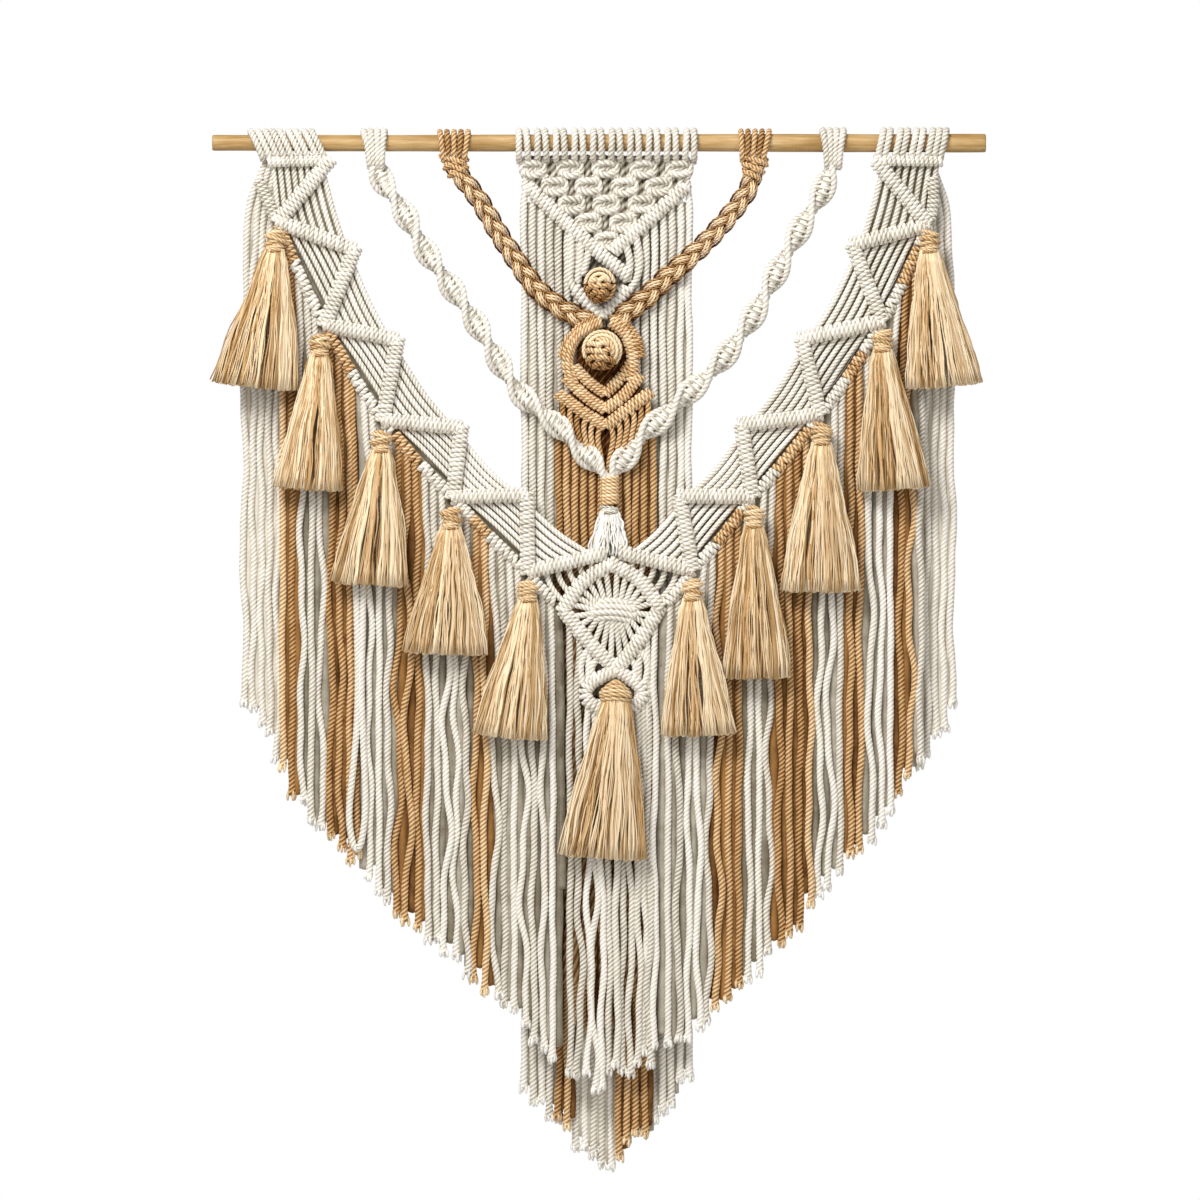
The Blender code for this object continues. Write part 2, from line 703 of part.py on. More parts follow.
# ---------------------------------------------------------------- centre panel
def v_line(x, apex_x, apex_z, end_x, end_z):
    """Height on a V at x, where both arms rise to end_z at the distance end_x from the middle."""
    share = (apex_x - x) / (apex_x + end_x) if x < apex_x else (x - apex_x) / (end_x - apex_x)
    return apex_z + (end_z - apex_z) * min(share, 1.0)


def centre_panel():
    bm = bmesh.new()
    strands = 2 * PANEL_LOOPS
    stations = []
    for loop in range(PANEL_LOOPS):
        x = (loop - (PANEL_LOOPS - 1) / 2) * PANEL_LOOP_PITCH - 0.3
        stations += [x - 5.3, x - 0.8, x + 0.8, x + 5.3]
    levels = 9
    rows = []
    for row in range(levels + 3):
        line = []
        for top_x in stations:
            share = min(row / 4, 1.0)
            x = top_x * (1 + (PANEL_TAPER - 1) * share)
            low = v_line(x, V_APEX_X, V_APEX_Z, 57.0, V_END_Z)
            if row < levels:
                z = max(PANEL_TOP - row * KNOT_ROW / 2 * 1.18, low + 7.0 + 0.5 * (levels - row))
            else:
                z = low + 3.5 * (levels + 2 - row)
            line.append((x, z))
        rows.append(line)
    rises = (0.0, 0.75, 0.85, 1.0, 1.0, 0.85, 0.75, 0.0)

    def front(row, column, x, z):
        base = PANEL_Y - 3.0
        if row >= levels:
            ridge = (0.6, 3.0, 1.2)[row - levels]
            return base - ridge * (1.0 if column % 2 == 0 else 0.75)
        if row in (0, levels - 1):
            return base
        if row % 2 == 0:
            return base - 0.4
        offset = 0 if row % 4 == 1 else 4
        return base - 2.8 * rises[(column + offset) % 8]

    faces, rear = relief(bm, len(stations), rows, front, PANEL_Y + 2.2)
    # Loops on the rod, each of two legs
    for loop in range(PANEL_LOOPS):
        first = 4 * loop
        x = stations[first] + 5.3
        tops = ((x - 3.9, x - 0.5), (x + 0.5, x + 3.9))
        feet = tuple((stations[first + 2 * leg], stations[first + 2 * leg + 1]) for leg in (0, 1))
        rings = rod_loops(bm, tops, feet)
        for cell, (upper, lower) in enumerate(zip(rings, rings[1:])):
            skin(bm, upper, lower, [0])
        rim = [ring[0] for ring in rings] + [ring[1] for ring in reversed(rings)]
        plate = faces[0][first:first + 4] + rear[0][first:first + 4][::-1]
        skin(bm, rim, plate)
    # Top wall between the loops
    for column in range(3, len(stations) - 1, 4):
        bm.faces.new(top_socket(faces, rear, column))
    # Small V, and the cords that reach it from the big V
    v_rings, v_cells = lay_path(bm, SMALL_V, [3, 3], BAR_HALF * 0.9, BAR_DEEP * 0.9, lambda z: -1.2)
    looped = {6: (0, 0), 7: (0, 1), 8: (0, 2), 11: (1, 1), 12: (1, 2)}
    open_sides = [(v_cells[cell], PLUS) for cell in looped.values()]
    open_sides += [(v_cells[leg, strand], MINUS) for leg in (0, 1) for strand in range(3)]
    close_path(bm, v_rings, open_sides)
    for leg in (0, 1):
        for strand in range(3):
            root = socket(v_rings, v_cells[leg, strand], MINUS)
            x = middle(root).x * 0.92 - 0.4
            hem = between(REAR_HEM, x) + uneven(x, 4.0)
            low = min(vert.co.z for vert in root)
            hang(bm, root, [(x, REAR_Y, low - 9.0), (x, REAR_Y, low - 200.0), (x, REAR_Y, hem)], 3.6, 4.0)
    for strand in range(strands):
        column = 2 * strand
        root = low_socket(faces, rear, column)
        point = middle(root)
        low = min(vert.co.z for vert in root)
        if strand in looped:
            skin(bm, root, socket(v_rings, v_cells[looped[strand]], PLUS))
        elif strand in (5, 9, 10):
            bm.faces.new(root)
        else:
            hem = between(REAR_HEM, point.x) + uneven(point.x, 4.0)
            behind = 3 < strand < 16
            y = REAR_Y if behind else PANEL_Y
            stops = [
                (point.x, PANEL_Y, low - 4.0),
                (point.x, PANEL_Y, -150.0),
                (point.x, y, -163.0),
                (point.x + uneven(2.3 * point.x, 0.6), y, -400.0),
                (point.x, y, hem),
            ]
            hang(bm, root, stops)
    for column in range(1, len(stations) - 1, 2):
        bm.faces.new(low_socket(faces, rear, column))
    add_solid("panel_centre", bm, "cream")


def berry(name, x, z, y, radius, deep):
    """Ball of knots: a flattened ball with a ridge for each turn of the cord."""
    bm = bmesh.new()
    bmesh.ops.create_uvsphere(bm, u_segments=12, v_segments=8, radius=1.0)
    for vert in bm.verts:
        turn = math.atan2(vert.co.z, vert.co.x)
        swell = 1 + 0.07 * math.sin(4 * turn) * (1 - abs(vert.co.y))
        vert.co = Vector((
            x + vert.co.x * radius * swell, y + vert.co.y * deep, z + vert.co.z * radius * swell,
        ))
    add_solid(name, bm, "brown")


# ---------------------------------------------------------------- brown diamond
def brown_diamond():
    bm = bmesh.new()
    pitch = 2 * DIAMOND_HALF / BROWN_STRANDS
    stations = []
    for strand in range(BROWN_STRANDS):
        x = DIAMOND_X - DIAMOND_HALF + (strand + 0.5) * pitch
        stations += [x - pitch * 0.4, x + pitch * 0.4]

    def away(x):
        return abs(x - DIAMOND_X) / DIAMOND_HALF

    def top(x):
        return DIAMOND_TOP - DIAMOND_SHOULDER * away(x)

    def low(x, apex):
        return apex + CHEVRON_RISE * away(x)

    rows = [[(x, top(x) - drop) for x in stations] for drop in (0.0, 2.3, 4.6)]
    rows.append([(x, (top(x) - 4.6 + low(x, CHEVRONS[0])) / 2) for x in stations])
    rows += [[(x, low(x, apex)) for x in stations] for apex in CHEVRONS]
    heights = (0.6, 2.8, 0.4, 0.0, 0.3, 2.6, 0.3, 2.6, 0.3, 2.8, 0.4)

    def front(row, column, x, z):
        return BROWN_Y - 0.4 - heights[row] * (1.0 if column % 2 == 0 else 0.75)

    faces, rear = relief(bm, len(stations), rows, front, BROWN_Y + 2.4)
    for column in range(len(stations) - 1):
        bm.faces.new(top_socket(faces, rear, column))
        if column % 2:
            bm.faces.new(low_socket(faces, rear, column))
            continue
        strand = column // 2
        root = low_socket(faces, rear, column)
        x = DIAMOND_X + (strand - (BROWN_STRANDS - 1) / 2) * BROWN_PITCH
        hem = between(REAR_HEM, x) if strand in BROWN_LONG else BROWN_SHORT_Z
        hem += uneven(x, 4.0)
        point = middle(root)
        stops = [
            ((point.x + x) / 2, -3.2, point.z - 7.0),
            (x, PANEL_Y, point.z - 18.0),
            (x + uneven(x, 0.5), PANEL_Y, -400.0),
            (x, PANEL_Y, hem),
        ]
        hang(bm, root, stops)
    add_solid("diamond_brown", bm, "brown")


def wrapped_knot():
    """Turns of cord round the ends of the two spirals."""
    bm = bmesh.new()
    turns = 5
    top, low = -223.0, -240.8
    rings = []
    for step in range(2 * turns + 1):
        z = top + (low - top) * step / (2 * turns)
        radius = 6.3 if step % 2 else 5.6
        rings.append(add_ring(bm, [
            (1.7 + radius * math.cos(angle), SPIRAL_Y + 0.75 * radius * math.sin(angle), z)
            for angle in (math.radians(45 * side) for side in range(8))
        ]))
    bm.faces.new(rings[0])
    bm.faces.new(rings[-1])
    for first, second in zip(rings, rings[1:]):
        skin(bm, first, second)
    add_solid("wrapped_knot", bm, "brown")


# ---------------------------------------------------------------- centre diamond
def centre_diamond():
    bm = bmesh.new()

    def depth(z):
        return BAND_LOW_Y

    count = DIAMOND_STRANDS
    rings, cells = lay_path(bm, DIAMOND_CORNERS, [count] * 4, BAR_HALF, BAR_DEEP, depth, closed=True)
    x0, x1 = BUNDLE[0] - BUNDLE_HALF_WIDTH, BUNDLE[0] + BUNDLE_HALF_WIDTH
    knot, knot_cells = lay_path(
        bm, ((x0, BUNDLE[1]), (x1, BUNDLE[1])), [2 * count], BUNDLE_HALF_HEIGHT, BAR_DEEP + 1.2, depth,
    )
    v_rings, v_cells = lay_path(bm, LOWER_V, [4, 4], BAR_HALF * 0.85, BAR_DEEP, depth)
    open_ring, open_knot, open_v = [], [], []
    # Spokes: the cords run from the two upper bars through the bundle knot to the two lower bars
    for leg, far, side, backwards in ((0, 0, PLUS, True), (3, 1, PLUS, True), (1, 0, MINUS, False), (2, 1, MINUS, False)):
        for strand in range(count):
            cell = cells[leg, strand]
            place = strand if leg in (1,) else count - 1 - strand if leg in (0, 3) else strand
            target = knot_cells[0, far * count + place]
            rim = socket(rings, cell, PLUS)
            hub = socket(knot, target, side)
            skin(bm, turned(rim) if backwards else rim, hub)
            open_ring.append((cell, PLUS))
            open_knot.append((target, side))
    # Cords from the band above: they end just under its last bar
    for leg in (0, 3):
        for strand in range(count):
            cell = cells[leg, strand]
            root = socket(rings, cell, MINUS)
            open_ring.append((cell, MINUS))
            outward = -1 if leg == 0 else 1
            near = strand if leg == 0 else count - 1 - strand
            lean = outward * (1.0 + 2.6 * near)
            table = [(-x, z) for x, z in ZIGZAG_LEFT[-2:]] if leg == 0 else list(ZIGZAG_RIGHT[-2:][::-1])
            tip = []
            for vert in root:
                x = vert.co.x + lean
                tip.append((x, vert.co.y, between(table, x) - BAR_HALF * 1.04 - CLEARANCE))
            ends = add_ring(bm, tip)
            skin(bm, root, ends)
            bm.faces.new(ends)
    # Lower V, hung by the cords next to the bottom corner
    for leg, strand, v_cell, backwards in ((1, 2, (0, 1), False), (1, 3, (0, 3), False), (2, 0, (1, 0), False), (2, 1, (1, 2), False)):
        cell = cells[leg, strand]
        skin(bm, socket(rings, cell, MINUS), socket(v_rings, v_cells[v_cell], PLUS))
        open_ring.append((cell, MINUS))
        open_v.append((v_cells[v_cell], PLUS))
    # Strands that hang down in front of the rear panel
    for leg, strand in ((1, 0), (1, 1), (2, 2), (2, 3)):
        cell = cells[leg, strand]
        hang_from(bm, socket(rings, cell, MINUS))
        open_ring.append((cell, MINUS))
    for leg in (0, 1):
        for strand in range(4):
            cell = v_cells[leg, strand]
            hang_from(bm, socket(v_rings, cell, MINUS))
            open_v.append((cell, MINUS))
    close_path(bm, rings, open_ring, closed=True)
    close_path(bm, knot, open_knot)
    close_path(bm, v_rings, open_v)
    add_solid("diamond_centre", bm, "cream")


def hang_from(bm, root):
    """A fringe strand straight down from a socket on the centre diamond."""
    point = middle(root)
    low = min(vert.co.z for vert in root)
    hem = between(FRONT_HEM, point.x) + uneven(point.x, 4.0)
    width = min(STRAND_WIDTH, root[2].co.x - root[0].co.x)
    hang(bm, root, [(point.x, point.y, low - 5.0), (point.x, point.y, hem)], width)


# ---------------------------------------------------------------- the hanging
for old in list(bpy.data.objects):
    bpy.data.objects.remove(old, do_unlink=True)
hanging = bpy.data.collections.new("macrame_wall_hanging")
bpy.context.scene.collection.children.link(hanging)

rod()
centre_panel()
berry("berry_upper", -4.7, -94.7, -11.0, 11.3, 5.5)
berry("berry_lower", -3.3, -138.0, -15.0, 13.8, 6.0)
braid("braid_left", BRAID_LEFT, -102.0)
braid("braid_right", BRAID_RIGHT, 98.7)
brown_diamond()
spiral("spiral_left", SPIRAL_LEFT, -155.3, 1)
spiral("spiral_right", SPIRAL_RIGHT, 150.7, -1)
wrapped_knot()
tassel("tassel_small", 1.7, -241.2, -274.7, -10.7, 12.0, -6.2, 3.4, "cream", 5.0, 4.0)
for side_name, zigzag, loops_span, groups, hem_span, outer, hand in (
    ("left", ZIGZAG_LEFT, BAND_LOOPS_LEFT, FRINGE_LEFT, FRINGE_HEM_LEFT, OUTER_LEFT, 1),
    ("right", ZIGZAG_RIGHT, BAND_LOOPS_RIGHT, FRINGE_RIGHT, FRINGE_HEM_RIGHT, OUTER_RIGHT, -1),
):
    band("band_" + side_name, zigzag, loops_span, hand)
    outer_fringe("fringe_" + side_name + "_outer", outer, hand)
    strand_total = sum(row[3] for row in groups)
    hem_pitch = (hem_span[0] - hem_span[1]) / (strand_total - 1)
    hems = [hem_span[0] - index * hem_pitch for index in range(strand_total)]
    edge = [(-x, z) for x, z in zigzag]
    for fringe_row in groups:
        fringe("fringe_" + side_name + "_" + fringe_row[0], edge, fringe_row, hems, hand)
        del hems[:fringe_row[3]]
centre_diamond()
for label, head, top_z, hem_z, hem_left, hem_right in TASSELS:
    ahead = band_y(top_z) - TASSEL_AHEAD
    tassel("tassel_" + label, head, top_z, hem_z, hem_left, hem_right, ahead, 7.0, "gold")
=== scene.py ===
from math import atan2, copysign, cos, dist, hypot, pi, radians, sin, sqrt, tan

import bpy
import numpy as np
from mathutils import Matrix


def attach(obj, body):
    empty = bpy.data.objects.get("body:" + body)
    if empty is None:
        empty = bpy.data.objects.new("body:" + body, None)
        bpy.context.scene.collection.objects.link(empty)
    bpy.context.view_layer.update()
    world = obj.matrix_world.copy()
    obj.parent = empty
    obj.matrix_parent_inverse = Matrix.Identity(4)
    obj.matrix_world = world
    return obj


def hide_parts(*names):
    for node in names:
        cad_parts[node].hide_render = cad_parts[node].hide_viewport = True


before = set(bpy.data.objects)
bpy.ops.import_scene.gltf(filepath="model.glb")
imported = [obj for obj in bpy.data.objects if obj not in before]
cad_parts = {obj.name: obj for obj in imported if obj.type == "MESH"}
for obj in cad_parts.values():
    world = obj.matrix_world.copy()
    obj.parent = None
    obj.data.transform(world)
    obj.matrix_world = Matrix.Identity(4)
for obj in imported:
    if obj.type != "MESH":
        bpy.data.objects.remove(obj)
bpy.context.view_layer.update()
chance = np.random.default_rng(7)
vary = chance.uniform  # every small unevenness

# Lengths are in millimetres: x to the right along the rod, y away from the viewer, z up from the rod's axis
mm = 0.001
viewer = np.array([0.0, -1.0, 0.0])  # the way to the viewer
upright = (0, 0, 1)

hanging = {
    "rodEnds": (-263.3, 252.7), "rodRadii": (5.3, 6.2),
    "cord": 2.45,  # radius of the three-strand cotton cord
    "lay": 1.45,  # rise of a ply from one ring of points to the next
    "rearLay": 2.9,  # the same for cords that lie behind others
    "wave": 120,  # length over which a hanging cord sways to and fro
    "barFlat": 0.7,  # depth of a half-hitch bar, as a share of its height
    "bandHeights": (-286, -14), "bandDepths": (-13.5, -4),
    "frontHem": (
        (-244, -366), (-223, -400), (-205, -441), (-171, -478), (-148, -500), (-111, -537), (-63, -579),
        (-33, -611), (-7, -627), (17, -616), (63, -586), (105, -547), (151, -489), (177, -464), (200, -429),
        (221, -390), (232, -376),
    ),
    "rearHem": (
        (-58, -623), (-50, -638), (-30, -651), (-22.7, -665), (-7.3, -677), (-1.3, -685), (9.3, -673),
        (18.7, -661), (34, -651), (42, -638), (53, -623), (58, -618),
    ),
    "covered": (-330, -560),  # heights where the rear strands lie under the fringe, and need fewer rings
}


# Materials
def fromHex(code):
    parts = (int(code[i:i + 2], 16) / 255 for i in (0, 2, 4))
    return (*(c / 12.92 if c <= 0.04045 else ((c + 0.055) / 1.055) ** 2.4 for c in parts), 1.0)


def newMaterial(name):
    made = bpy.data.materials.new(name)
    made.use_nodes = True
    return made, made.node_tree, made.node_tree.nodes["Principled BSDF"]


def addNode(tree, kind, links=None, **settings):
    made = tree.nodes.new("ShaderNode" + kind)
    for key, value in settings.items():
        setattr(made, key, value)
    for key, value in (links or {}).items():
        if isinstance(value, bpy.types.NodeSocket):
            tree.links.new(value, made.inputs[key])
        else:
            made.inputs[key].default_value = value
    return made


def addRamp(tree, value, stops):
    ramp = addNode(tree, "ValToRGB", {"Fac": value})
    steps = ramp.color_ramp.elements
    while len(steps) < len(stops):
        steps.new(0.5)
    for step, (place, code) in zip(steps, stops):
        step.position, step.color = place, fromHex(code)
    return ramp.outputs["Color"]


def colourAndRelief(tree, shader, shade, parts, stops, height, strength, depth):
    # Adds patterns up by their weights and colours the sum. One of them also raises the surface
    for part, weight in parts:
        shade = addNode(tree, "Math", {0: part, 1: weight, 2: shade}, operation="MULTIPLY_ADD").outputs[0]
    tree.links.new(addRamp(tree, shade, stops), shader.inputs["Base Color"])
    bump = addNode(tree, "Bump", {"Height": height, "Strength": strength, "Distance": depth * mm})
    tree.links.new(bump.outputs["Normal"], shader.inputs["Normal"])


def spunCotton(name, groove, body, crown, mottleSize, fibreSize, sheen):
    # Dyed or natural cotton, spun and laid in plies: matt, with a soft fuzz. The grooves between plies get
    # painted shade and the crowns of the plies painted light. The fibres are drawn far coarser than real
    # ones, so that they show
    made, tree, shader = newMaterial(name)
    place = addNode(tree, "TexCoord").outputs["Object"]
    ply, tone = (addNode(tree, "Attribute", attribute_name=key).outputs["Fac"] for key in ("ply", "tone"))
    mottle, fibre = (addNode(tree, "TexNoise", {"Vector": place, "Scale": 1 / (size * mm), "Detail": detail})
                     .outputs["Fac"] for size, detail in ((mottleSize, 3.0), (fibreSize, 2.0)))
    # ply paints shade into the grooves and light onto the crowns. tone is a cord's own lightness, and a low
    # tone is painted shade on cords that lie behind others
    colourAndRelief(tree, shader, -0.01, ((ply, 0.5), (tone, 0.34), (mottle, 0.22), (fibre, 0.16)),
                    ((0.22, groove), (0.55, body), (0.95, crown)), fibre, 0.5, 0.25)
    for key, value in (("Roughness", 0.92), ("Specular IOR Level", 0.12), ("Sheen Weight", sheen),
                       ("Sheen Roughness", 0.5), ("Sheen Tint", fromHex(body))):
        shader.inputs[key].default_value = value
    return made


def sandedWood():
    # A planed and sanded softwood pole: pale straw colour, fine grain along its length, a low waxy gloss
    made, tree, shader = newMaterial("sandedPineWood")
    place = addNode(tree, "TexCoord").outputs["Object"]
    drawn = addNode(tree, "Mapping", {"Vector": place, "Scale": (0.06, 1.0, 1.0)}).outputs["Vector"]
    grain, pores, patch = (
        addNode(tree, "TexNoise", {"Vector": along, "Scale": 1 / (size * mm), **look}).outputs["Fac"]
        for along, size, look in ((drawn, 2.6, {"Detail": 4.0, "Roughness": 0.6, "Distortion": 0.6}),
                                  (drawn, 0.5, {"Detail": 2.0}), (place, 60, {"Detail": 2.0})))
    colourAndRelief(tree, shader, 0.0, ((patch, 0.35), (grain, 0.5), (pores, 0.15)),
                    ((0.3, "7D5520"), (0.45, "A98349"), (0.58, "C7A56F"), (0.75, "E3CB98")), pores, 0.3, 0.1)
    shader.inputs["Roughness"].default_value = 0.5
    return made


# The groove colour is painted shade and the crown colour painted light
finishes = {  # colours of groove, cord and crown, sizes of mottle and fibres, sheen
    "cream_cotton": spunCotton("naturalCottonCord", "786E5B", "DED6C7", "FDFAF4", 9.0, 0.7, 0.2),
    "brown_cotton": spunCotton("dyedBrownCottonCord", "45230A", "B8874D", "FAE4BE", 9.0, 0.7, 0.15),
    "gold_yarn": spunCotton("goldCottonYarn", "83592B", "CEA874", "FAE6C4", 12.0, 0.9, 0.2),
    "wood": sandedWood(),
}


# Paths
def between(table, x):
    xs, values = zip(*table)
    return float(np.interp(x, xs, values))


def bandDepth(z):
    return float(np.interp(z, hanging["bandHeights"], hanging["bandDepths"]))


def rodRadius(x):
    return float(np.interp(x, hanging["rodEnds"], hanging["rodRadii"]))


def standing(line, y):
    # Puts a line of x and z at one depth
    return [(x, y, z) for x, z in line]


def curve(points, step=None, count=None):
    # Evenly spaced points on a smooth line through the given ones
    p = np.asarray(points, float)
    if len(p) > 2:
        q = np.vstack([2 * p[0] - p[1], p, 2 * p[-1] - p[-2]])
        t = np.linspace(0, 1, 8, endpoint=False)[:, None]
        runs = [0.5 * (2 * b + (c - a) * t + (2 * a - 5 * b + 4 * c - d) * t ** 2
                       + (3 * b - a - 3 * c + d) * t ** 3) for a, b, c, d in zip(q, q[1:], q[2:], q[3:])]
        p = np.vstack(runs + [p[-1:]])
    run = np.concatenate([[0], np.cumsum(np.linalg.norm(np.diff(p, axis=0), axis=1))])
    count = count or max(3, int(round(run[-1] / step)) + 1)
    at = np.linspace(0, run[-1], count)
    return np.stack([np.interp(at, run, p[:, i]) for i in range(p.shape[1])], 1)


def unit(v):
    return v / (np.linalg.norm(v, axis=-1, keepdims=True) + 1e-9)


def sway(path, reach):
    # Lets a hanging cord wander a little from side to side and in depth, less near its root
    drop = path[0, 2] - path[:, 2]
    grip = np.clip(drop / 60, 0, 1)
    for axis, share in ((0, 1.0), (1, 0.5)):
        for part, size in ((1.0, 1.0), (2.3, 0.45)):
            path[:, axis] += grip * share * size * reach * np.sin(
                2 * np.pi * (drop * part / hanging["wave"] + vary())) * vary(0.4, 1.0)
    return path


# Cord
triangles = []


class Skein:
    # Gathers lengths of cord as tubes, then makes one mesh of them
    def __init__(self):
        self.parts, self.count = [], 0

    def cord(self, path, radius=None, facing=viewer, sides=6, relief=0.15, tone=None, closed=False, tip=0.35,
             shaded=0.0):
        # relief is how far the plies stand out, and tone how light the cord is. shaded smooths its near side
        # and darkens it with painted shade, where it lies behind others
        path = np.asarray(path, float)
        radius = np.broadcast_to(hanging["cord"] if radius is None else radius, len(path))
        rings = len(path)
        way = unit(np.roll(path, -1, 0) - np.roll(path, 1, 0) if closed else np.gradient(path, axis=0))
        side = np.broadcast_to(np.asarray(facing, float), path.shape)
        side = unit(side - (side * way).sum(1)[:, None] * way)
        other = np.cross(way, side)
        turn = 2 * pi * np.arange(sides) / sides
        ridge = (np.arange(sides)[None, :] + np.arange(rings)[:, None]) % 2 == 0
        near = np.cos(turn) > 0.1
        if not relief:
            ridge[:] = True
        if shaded:
            ridge[:, near] = True
        reach = radius[:, None] * (1 + relief * np.where(ridge, 0.4, -1.4))
        points = (path[:, None, :] + (reach * np.cos(turn))[..., None] * side[:, None, :]
                  + (reach * np.sin(turn))[..., None] * other[:, None, :]).reshape(-1, 3)
        ply = ridge.astype(np.float32).ravel()
        k, j = np.divmod(np.arange((rings if closed else rings - 1) * sides), sides)
        below, after = (k + 1) % rings, (j + 1) % sides
        a, b, c, d = k * sides + j, k * sides + after, below * sides + after, below * sides + j
        faces = [np.stack([a, b, c], 1), np.stack([a, c, d], 1)]  # split along the lay of the plies
        tone = np.broadcast_to(vary(0.3, 0.7) if tone is None else tone, rings)
        # painted shade on the side towards the viewer, for a cord behind others
        shades = np.repeat(tone, sides) - shaded * np.tile(near, rings)
        if not closed:
            ends = path[[0, -1]] + way[[0, -1]] * radius[[0, -1], None] * [[-tip], [tip]]
            points, ply = np.vstack([points, ends]), np.append(ply, [1, 1]).astype(np.float32)
            n, m = np.arange(sides), (np.arange(sides) + 1) % sides
            last = (rings - 1) * sides
            faces += [np.stack([np.full(sides, rings * sides), m, n], 1),
                      np.stack([np.full(sides, rings * sides + 1), last + n, last + m], 1)]
            shades = np.append(shades, tone[[0, -1]] - shaded / 2)
        self.parts.append((points, np.vstack(faces) + self.count, ply, shades.astype(np.float32)))
        self.count += len(points)

    def follow(self, points, radius=None, step=None, **look):
        # A cord on a smooth line through the points
        self.cord(curve(points, step or hanging["lay"]), radius, **look)

    def piece(self, node, slot, name=None):
        name = name or node[0] + node.title().replace("_", "")[1:]
        points, faces, ply, tone = map(np.concatenate, zip(*self.parts))
        faces = faces.astype(np.int32)
        mesh = bpy.data.meshes.new(name + "Cords")
        mesh.vertices.add(len(points))
        mesh.vertices.foreach_set("co", (points * mm).astype(np.float32).ravel())
        mesh.loops.add(faces.size)
        mesh.loops.foreach_set("vertex_index", faces.ravel())
        mesh.polygons.add(len(faces))
        mesh.polygons.foreach_set("loop_start", np.arange(0, faces.size, 3, dtype=np.int32))
        mesh.update(calc_edges=True)
        for key, values in (("ply", ply), ("tone", tone)):
            mesh.attributes.new(key, "FLOAT", "POINT").data.foreach_set("value", values)
        ends = np.empty(len(mesh.edges) * 2, np.int32)
        mesh.edges.foreach_get("vertices", ends)
        crease = (ply[ends.reshape(-1, 2)] == 0).all(1)  # the groove between two plies
        mesh.attributes.new("sharp_edge", "BOOLEAN", "EDGE").data.foreach_set("value", crease)
        made = bpy.data.objects.new(name, mesh)
        bpy.context.scene.collection.objects.link(made)
        made.data.materials.append(finishes[slot])
        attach(made, "root")
        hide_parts(node)
        triangles.append(len(faces))
        print(f"{name}: {len(faces)} triangles")


def wrap(skein, centre, along, around, cord, slant=0.0, flat=1.0, segments=14, tone=None, relief=0.05,
         arch=0.0):
    # One turn of cord round a core that runs along: slant leans it across the front, flat squeezes its depth,
    # arch lifts its middle
    along = unit(np.asarray(along, float))
    front = unit(viewer - viewer.dot(along) * along)
    across = np.cross(along, front)
    turn = 2 * pi * np.arange(segments)[:, None] / segments
    path = (np.asarray(centre) + np.cos(turn) * front * around * flat + np.sin(turn) * across * around
            + (np.sin(turn) * around * tan(slant) - np.sin(turn) ** 2 * arch) * along)
    skein.cord(path, cord, path - np.asarray(centre), relief=relief, closed=True, tone=tone)


def bar(skein, path, pitch=3.0, around=4.1, cord=1.6, slant=0.22, tone=0.6):
    # A half-hitch bar: a holding cord with the knotting cords wrapped over it side by side
    line = curve(path, pitch)
    way = unit(np.gradient(line, axis=0))
    # the holding cord is painted darker: painted shade in the gaps between the turns
    skein.cord(line, around * hanging["barFlat"], sides=8, relief=0, tone=tone - 0.9)
    for centre, along in zip(line, way):
        wrap(skein, centre + (0, vary(-0.2, 0.2), 0), along, around * vary(0.95, 1.05),
             cord * vary(0.95, 1.05), slant * vary(0.6, 1.4), flat=hanging["barFlat"],
             tone=tone + vary(-0.25, 0.25))


soften = {
    "swell": (1.03, 1.08, 1.14, 1.2, 1.26, 1.15),  # of a strand's last rings, where the plies open
    "tufts": 5, "tuft": (1.1, 1.15, 1, 0.55),  # opened plies at its end, and their radii
}


def strand(skein, points, tone=None, wander=1.4, radius=None, step=None, frayed=True, hidden=None,
           shaded=0.0):
    # A hanging cord: its twist, a little sway and a soft end where the plies open. Between the hidden heights
    # no side of it shows, so it needs fewer rings
    path = sway(curve(points, step or hanging["lay"]), wander)
    if hidden:
        within = (path[:, 2] < hidden[0]) & (path[:, 2] > hidden[1])
        path = path[~within | (np.arange(len(path)) % 3 == 0)]
    radius = (radius or hanging["cord"]) * np.ones(len(path)) * (
        1 + 0.05 * np.sin(np.arange(len(path)) * 0.37 + vary(0, 6)))
    tone = vary(0.2, 1.0) if tone is None else tone
    if frayed:
        radius[-len(soften["swell"]):] *= soften["swell"]
        way = unit(path[-1] - path[-4])
        for tuft in range(soften["tufts"]):
            angle = 2 * pi * (tuft + vary()) / soften["tufts"]
            out = np.array([cos(angle), sin(angle) * 0.7, 0]) * radius[-1]
            root = path[-3] + out * 0.55
            tip = path[-1] + way * vary(1.5, 4.0) + out * vary(0.55, 1.1)
            line = curve([root, (root + tip) / 2 + out * 0.2, tip], count=len(soften["tuft"]))
            skein.cord(line, np.array(soften["tuft"]), sides=4, relief=0, tone=tone + 0.15)
    skein.cord(path, radius, tone=tone, shaded=shaded)


def stem(x, y, heights):
    return np.stack([x + 0 * heights, y + 0 * heights, heights], 1)


def plumb(skein, x, y, top, low, radius, tone):
    # A straight cord behind others, which closes the gaps between them. A low tone darkens it as painted
    # shade
    skein.follow([(x, y, top), (x, y, low)], radius, hanging["rearLay"], tone=tone)


